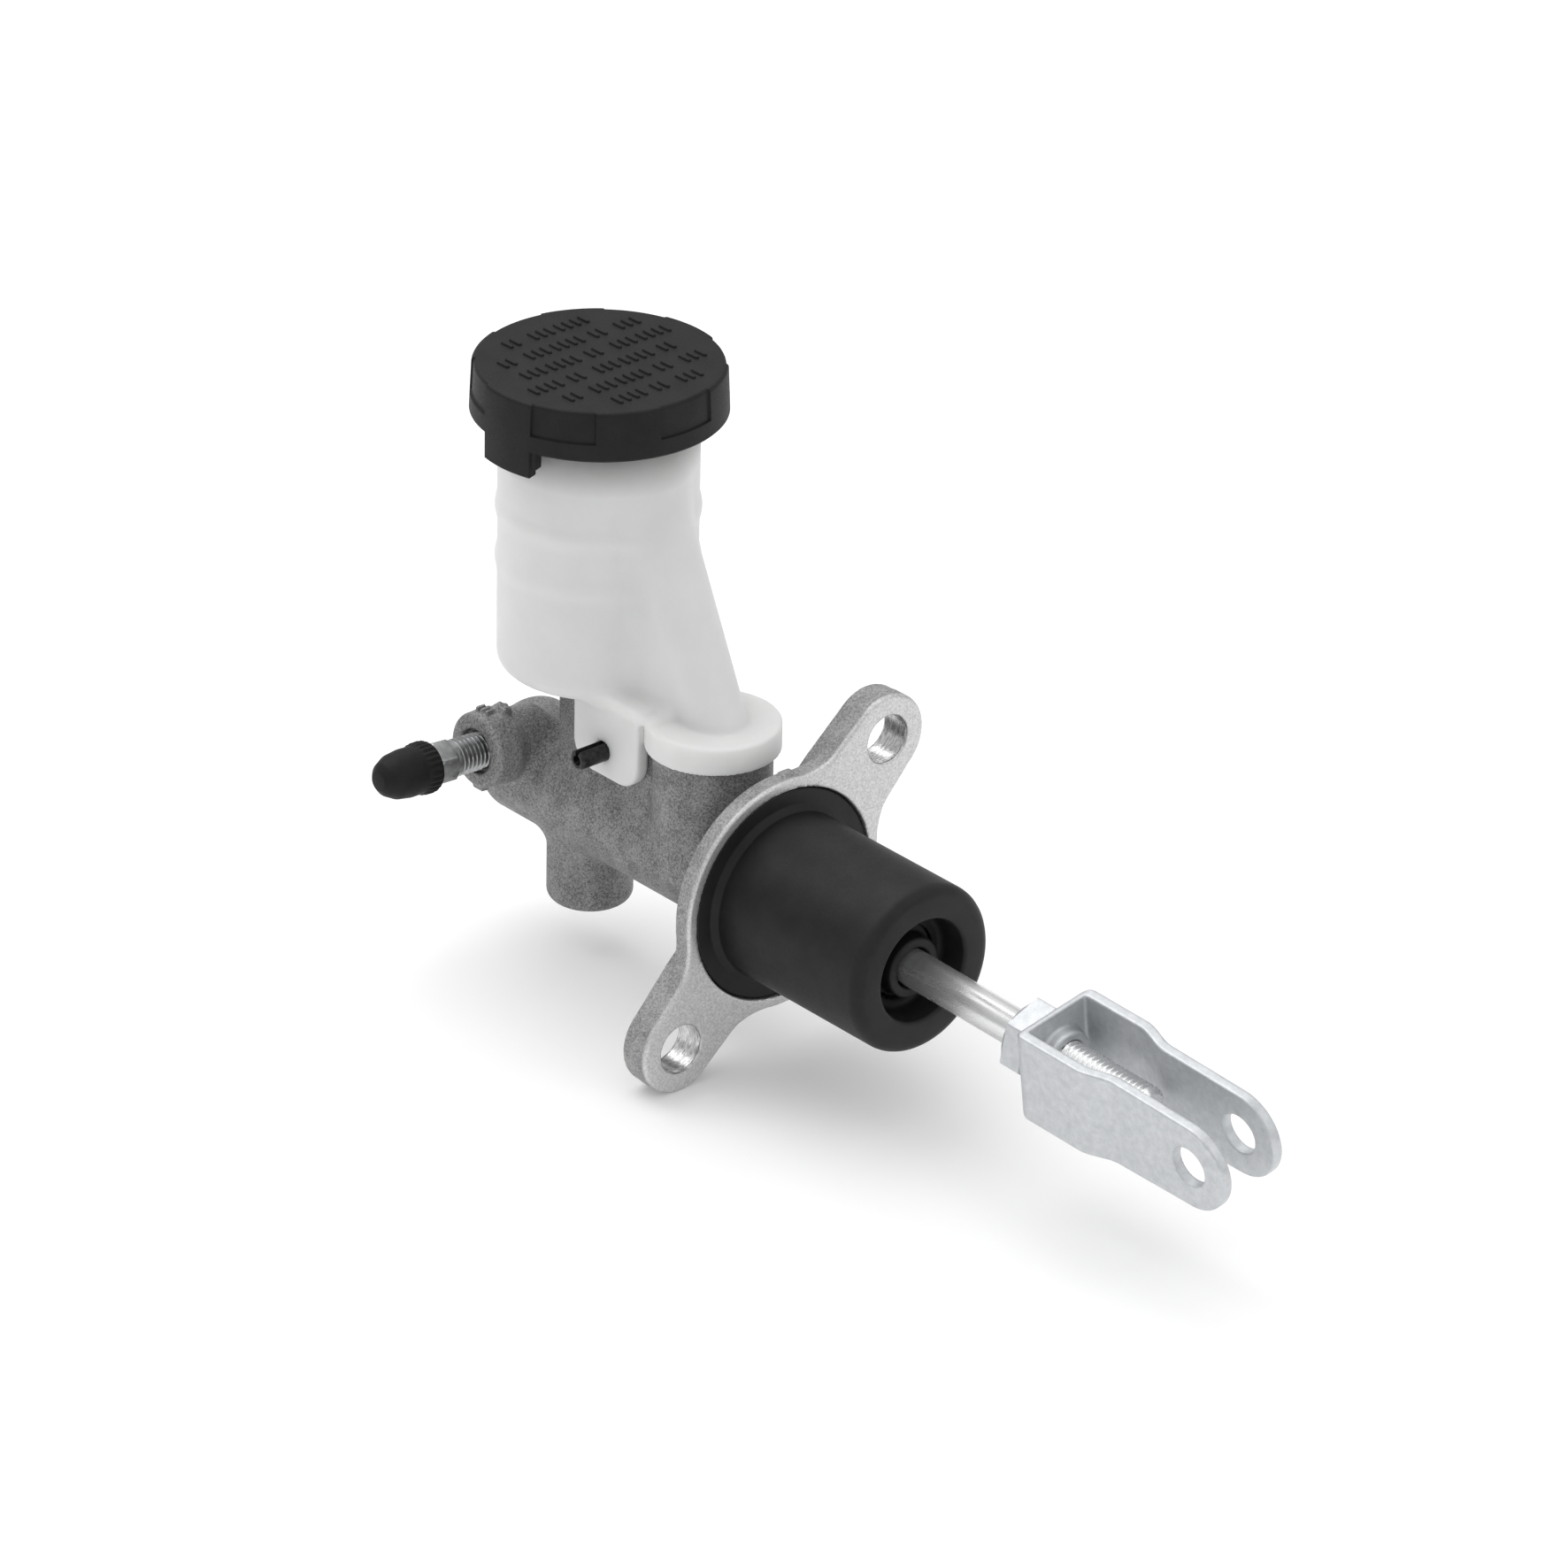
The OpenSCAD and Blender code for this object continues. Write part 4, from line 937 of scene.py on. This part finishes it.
def lock_nut():
    def radius(r, h, angles):
        return np.minimum(hexagon(NUT_AF, angles, NUT_TURN), r) if r > 6 else np.full(len(angles), r)

    corner = NUT_AF / math.sqrt(3)
    end = [(ROD_THREAD_R + SNUG, 0.4), (ROD_THREAD_R + 0.5, 0), (NUT_FACE_R, 0), (corner - 0.1, 0.75),
           (corner + 0.1, 0.9)]
    profile = [(r, NUT_LOW + h) for r, h in end] + [(r, NUT_HIGH - h) for r, h in reversed(end)]
    shape = placed(lathe(profile + profile[:1], 180, radius), ROD)
    piece(new_object("hex_nut", shape, [ZINC], sharp=25), "fork", "plated_steel", "lock_nut")


CLEVIS_T, WEB_X, BASE_W, EYE_W, BASE_H, EYE_R = 2.3, 53.2, 19.2, 15.2, 9.6, 9.0
JOGGLE, BEND_R, COLLAR_R, COLLAR_LEN = (69.6, 78.0), 3.0, 5.6, 2.6
CLEVIS_HALF_BOX, CLEVIS_MARGIN, CLEVIS_STEP = 11, 1, 0.32


def clevis_distance(x, y, z):
    """Folded sheet; here x runs along the pin, z along the rod, and y up the ears."""
    step = np.clip((z - JOGGLE[0]) / (JOGGLE[1] - JOGGLE[0]), 0, 1)
    half = (BASE_W - (BASE_W - EYE_W) * step * step * (3 - 2 * step) - CLEVIS_T) / 2
    bend = BEND_R - CLEVIS_T / 2
    middle = rounded_slab(np.abs(x) - half, WEB_X + CLEVIS_T / 2 - z, bend)
    sheet = np.abs(middle) - CLEVIS_T / 2
    height = BASE_H + (EYE_R - BASE_H) * np.clip((z - JOGGLE[0]) / (EYE_REACH - JOGGLE[0]), 0, 1)
    side = np.where(z < EYE_REACH, np.abs(y) - height, hypot(z - EYE_REACH, y) - EYE_R)
    side = rounded_slab(side, WEB_X - 0.01 - z, edge=2.2)
    plate = rounded_slab(sheet, side, edge=0.4)
    radial = hypot(x, y)
    collar = drum(radial, z, COLLAR_R, WEB_X + 0.5, WEB_X + CLEVIS_T + COLLAR_LEN, edge=0.5)
    plate = fillet(plate, collar, radius=0.8)
    plate = carve(plate, radial - ROD_THREAD_R - SNUG, radius=0.25)
    return carve(plate, hypot(z - EYE_REACH, y) - mount("clevis_pin")["dims"]["r_mm"], radius=0.3)


def clevis():
    low = (-CLEVIS_HALF_BOX, -CLEVIS_HALF_BOX, WEB_X - CLEVIS_MARGIN)
    high = (CLEVIS_HALF_BOX, CLEVIS_HALF_BOX, EYE_REACH + EYE_R + CLEVIS_MARGIN)
    shape = placed(surface(clevis_distance, low, high, CLEVIS_STEP), FORK)
    piece(new_object("folded_clevis", shape, [ZINC], sharp=60), "fork", "plated_steel", "clevis")


push_rod()
lock_nut()
clevis()

# ---- return spring ---------------------------------------------------------

SPRING_R, WIRE_R, SPRING_TURNS = 5.9, 0.7, 9
COIL_STEPS, WIRE_SIDES, END_CREEP = 24, 10, 0.04


def return_spring():
    """Coil between the bore's end and the spring seat, with a closed turn at each end."""
    low, high = box_mm("return_spring")
    length = high.x - low.x
    steps, sides = COIL_STEPS * SPRING_TURNS, WIRE_SIDES
    rows = []
    for i in range(steps + 1):
        turn = 2 * math.pi * i * SPRING_TURNS / steps
        share = min(max((i / steps - 1 / SPRING_TURNS) / (1 - 2 / SPRING_TURNS), 0), 1)
        c, d = math.cos(turn), math.sin(turn)
        x = low.x + WIRE_R + (length - 2 * WIRE_R) * (END_CREEP * i / steps + (1 - END_CREEP) * share)
        for k in range(sides):
            a = 2 * math.pi * k / sides
            r = SPRING_R + WIRE_R * math.cos(a)
            rows.append((x + WIRE_R * math.sin(a), r * c, r * d))
    last = steps * sides
    ends = [tuple(range(sides - 1, -1, -1)), tuple(range(last, last + sides))]
    obj = new_object("coil_spring", (np.array(rows), grid_faces(steps + 1, sides) + ends), [SPRING_STEEL])
    piece(obj, "housing", "spring_steel", "return_spring")
    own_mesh(obj)


return_spring()

# ---- CAD nodes that stay ---------------------------------------------------

KEPT = {"outlet_seat": BRASS, "inlet_grommet": RUBBER, "cap_diaphragm": RUBBER, "piston": MACHINED,
        "primary_cup": RUBBER, "cup_washer": BRASS, "secondary_cup": RUBBER, "spring_seat": WHITE_PLASTIC,
        "stop_washer": BRIGHT, "circlip": BLACK_STEEL}
for node, material in KEPT.items():
    slots = frame["nodes"][node].data.materials
    slots.clear()
    slots.append(material)

# ---- floor, light and camera -----------------------------------------------


def floor():
    f = Finish("studio_floor", Roughness=0.6, Specular_IOR_Level=0.2, Emission_Strength=0.13)
    f.shader.inputs["Emission Color"].default_value = (1, 1, 1, 1)
    f.colour(f.noise(400, 2), grey(0.9), grey(0.92))
    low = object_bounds()[0].z / MM
    half = 3000
    corners = [(-half, -half, low), (half, -half, low), (half, half, low), (-half, half, low)]
    obj = new_object("floor", (corners, [(0, 1, 2, 3)]), [f.material])
    obj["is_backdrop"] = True


def area_light(name, place, size, power):
    data = bpy.data.lights.new(name, "AREA")
    data.shape = "SQUARE"
    data.size = size
    data.energy = power
    obj = bpy.data.objects.new(name, data)
    bpy.context.scene.collection.objects.link(obj)
    aim = (cad_box[0] + cad_box[1]) / 2
    obj.location = place
    obj.rotation_euler = (aim - Vector(place)).to_track_quat("-Z", "Y").to_euler()


def soft_world(low, high):
    """Even white light, brighter from above than from the sides."""
    world = bpy.data.worlds.new("studio")
    bpy.context.scene.world = world
    world.use_nodes = True
    tree = world.node_tree
    back = tree.nodes["Background"]
    back.inputs["Color"].default_value = (1, 1, 1, 1)
    split = tree.nodes.new("ShaderNodeSeparateXYZ")
    fade = tree.nodes.new("ShaderNodeMapRange")
    tree.links.new(tree.nodes.new("ShaderNodeTexCoord").outputs["Generated"], split.inputs[0])
    tree.links.new(split.outputs[2], fade.inputs[0])
    tree.links.new(fade.outputs[0], back.inputs["Strength"])
    for i, value in enumerate((0, 1, low, high), 1):
        fade.inputs[i].default_value = value


def studio():
    floor()
    soft_world(low=0.45, high=1.0)
    area_light("key", place=(-0.45, -0.05, 0.9), size=0.9, power=4.4)
    area_light("side", place=(0.75, 0.35, 0.5), size=0.5, power=0.7)
    bpy.context.scene.view_settings.view_transform = "Standard"


CAMERA_AT = (1.06358, -0.95151, 0.76382)
AZIMUTH, ELEVATION, ROLL, LENS = 48.204, 27.421, 1.276, 195.96


def camera():
    az, el, roll = (math.radians(a) for a in (AZIMUTH, ELEVATION, ROLL))
    back = Vector((math.sin(az) * math.cos(el), -math.cos(az) * math.cos(el), math.sin(el)))
    side = Vector((math.cos(az), math.sin(az), 0))
    up = back.cross(side)
    right = math.cos(roll) * side + math.sin(roll) * up
    data = bpy.data.cameras.new("camera")
    data.sensor_width = 36
    data.lens = LENS
    obj = bpy.data.objects.new("camera", data)
    bpy.context.scene.collection.objects.link(obj)
    matrix = Matrix((right, back.cross(right), back)).transposed().to_4x4()
    matrix.translation = Vector(CAMERA_AT)
    obj.matrix_world = matrix
    bpy.context.scene.camera = obj


studio()
camera()
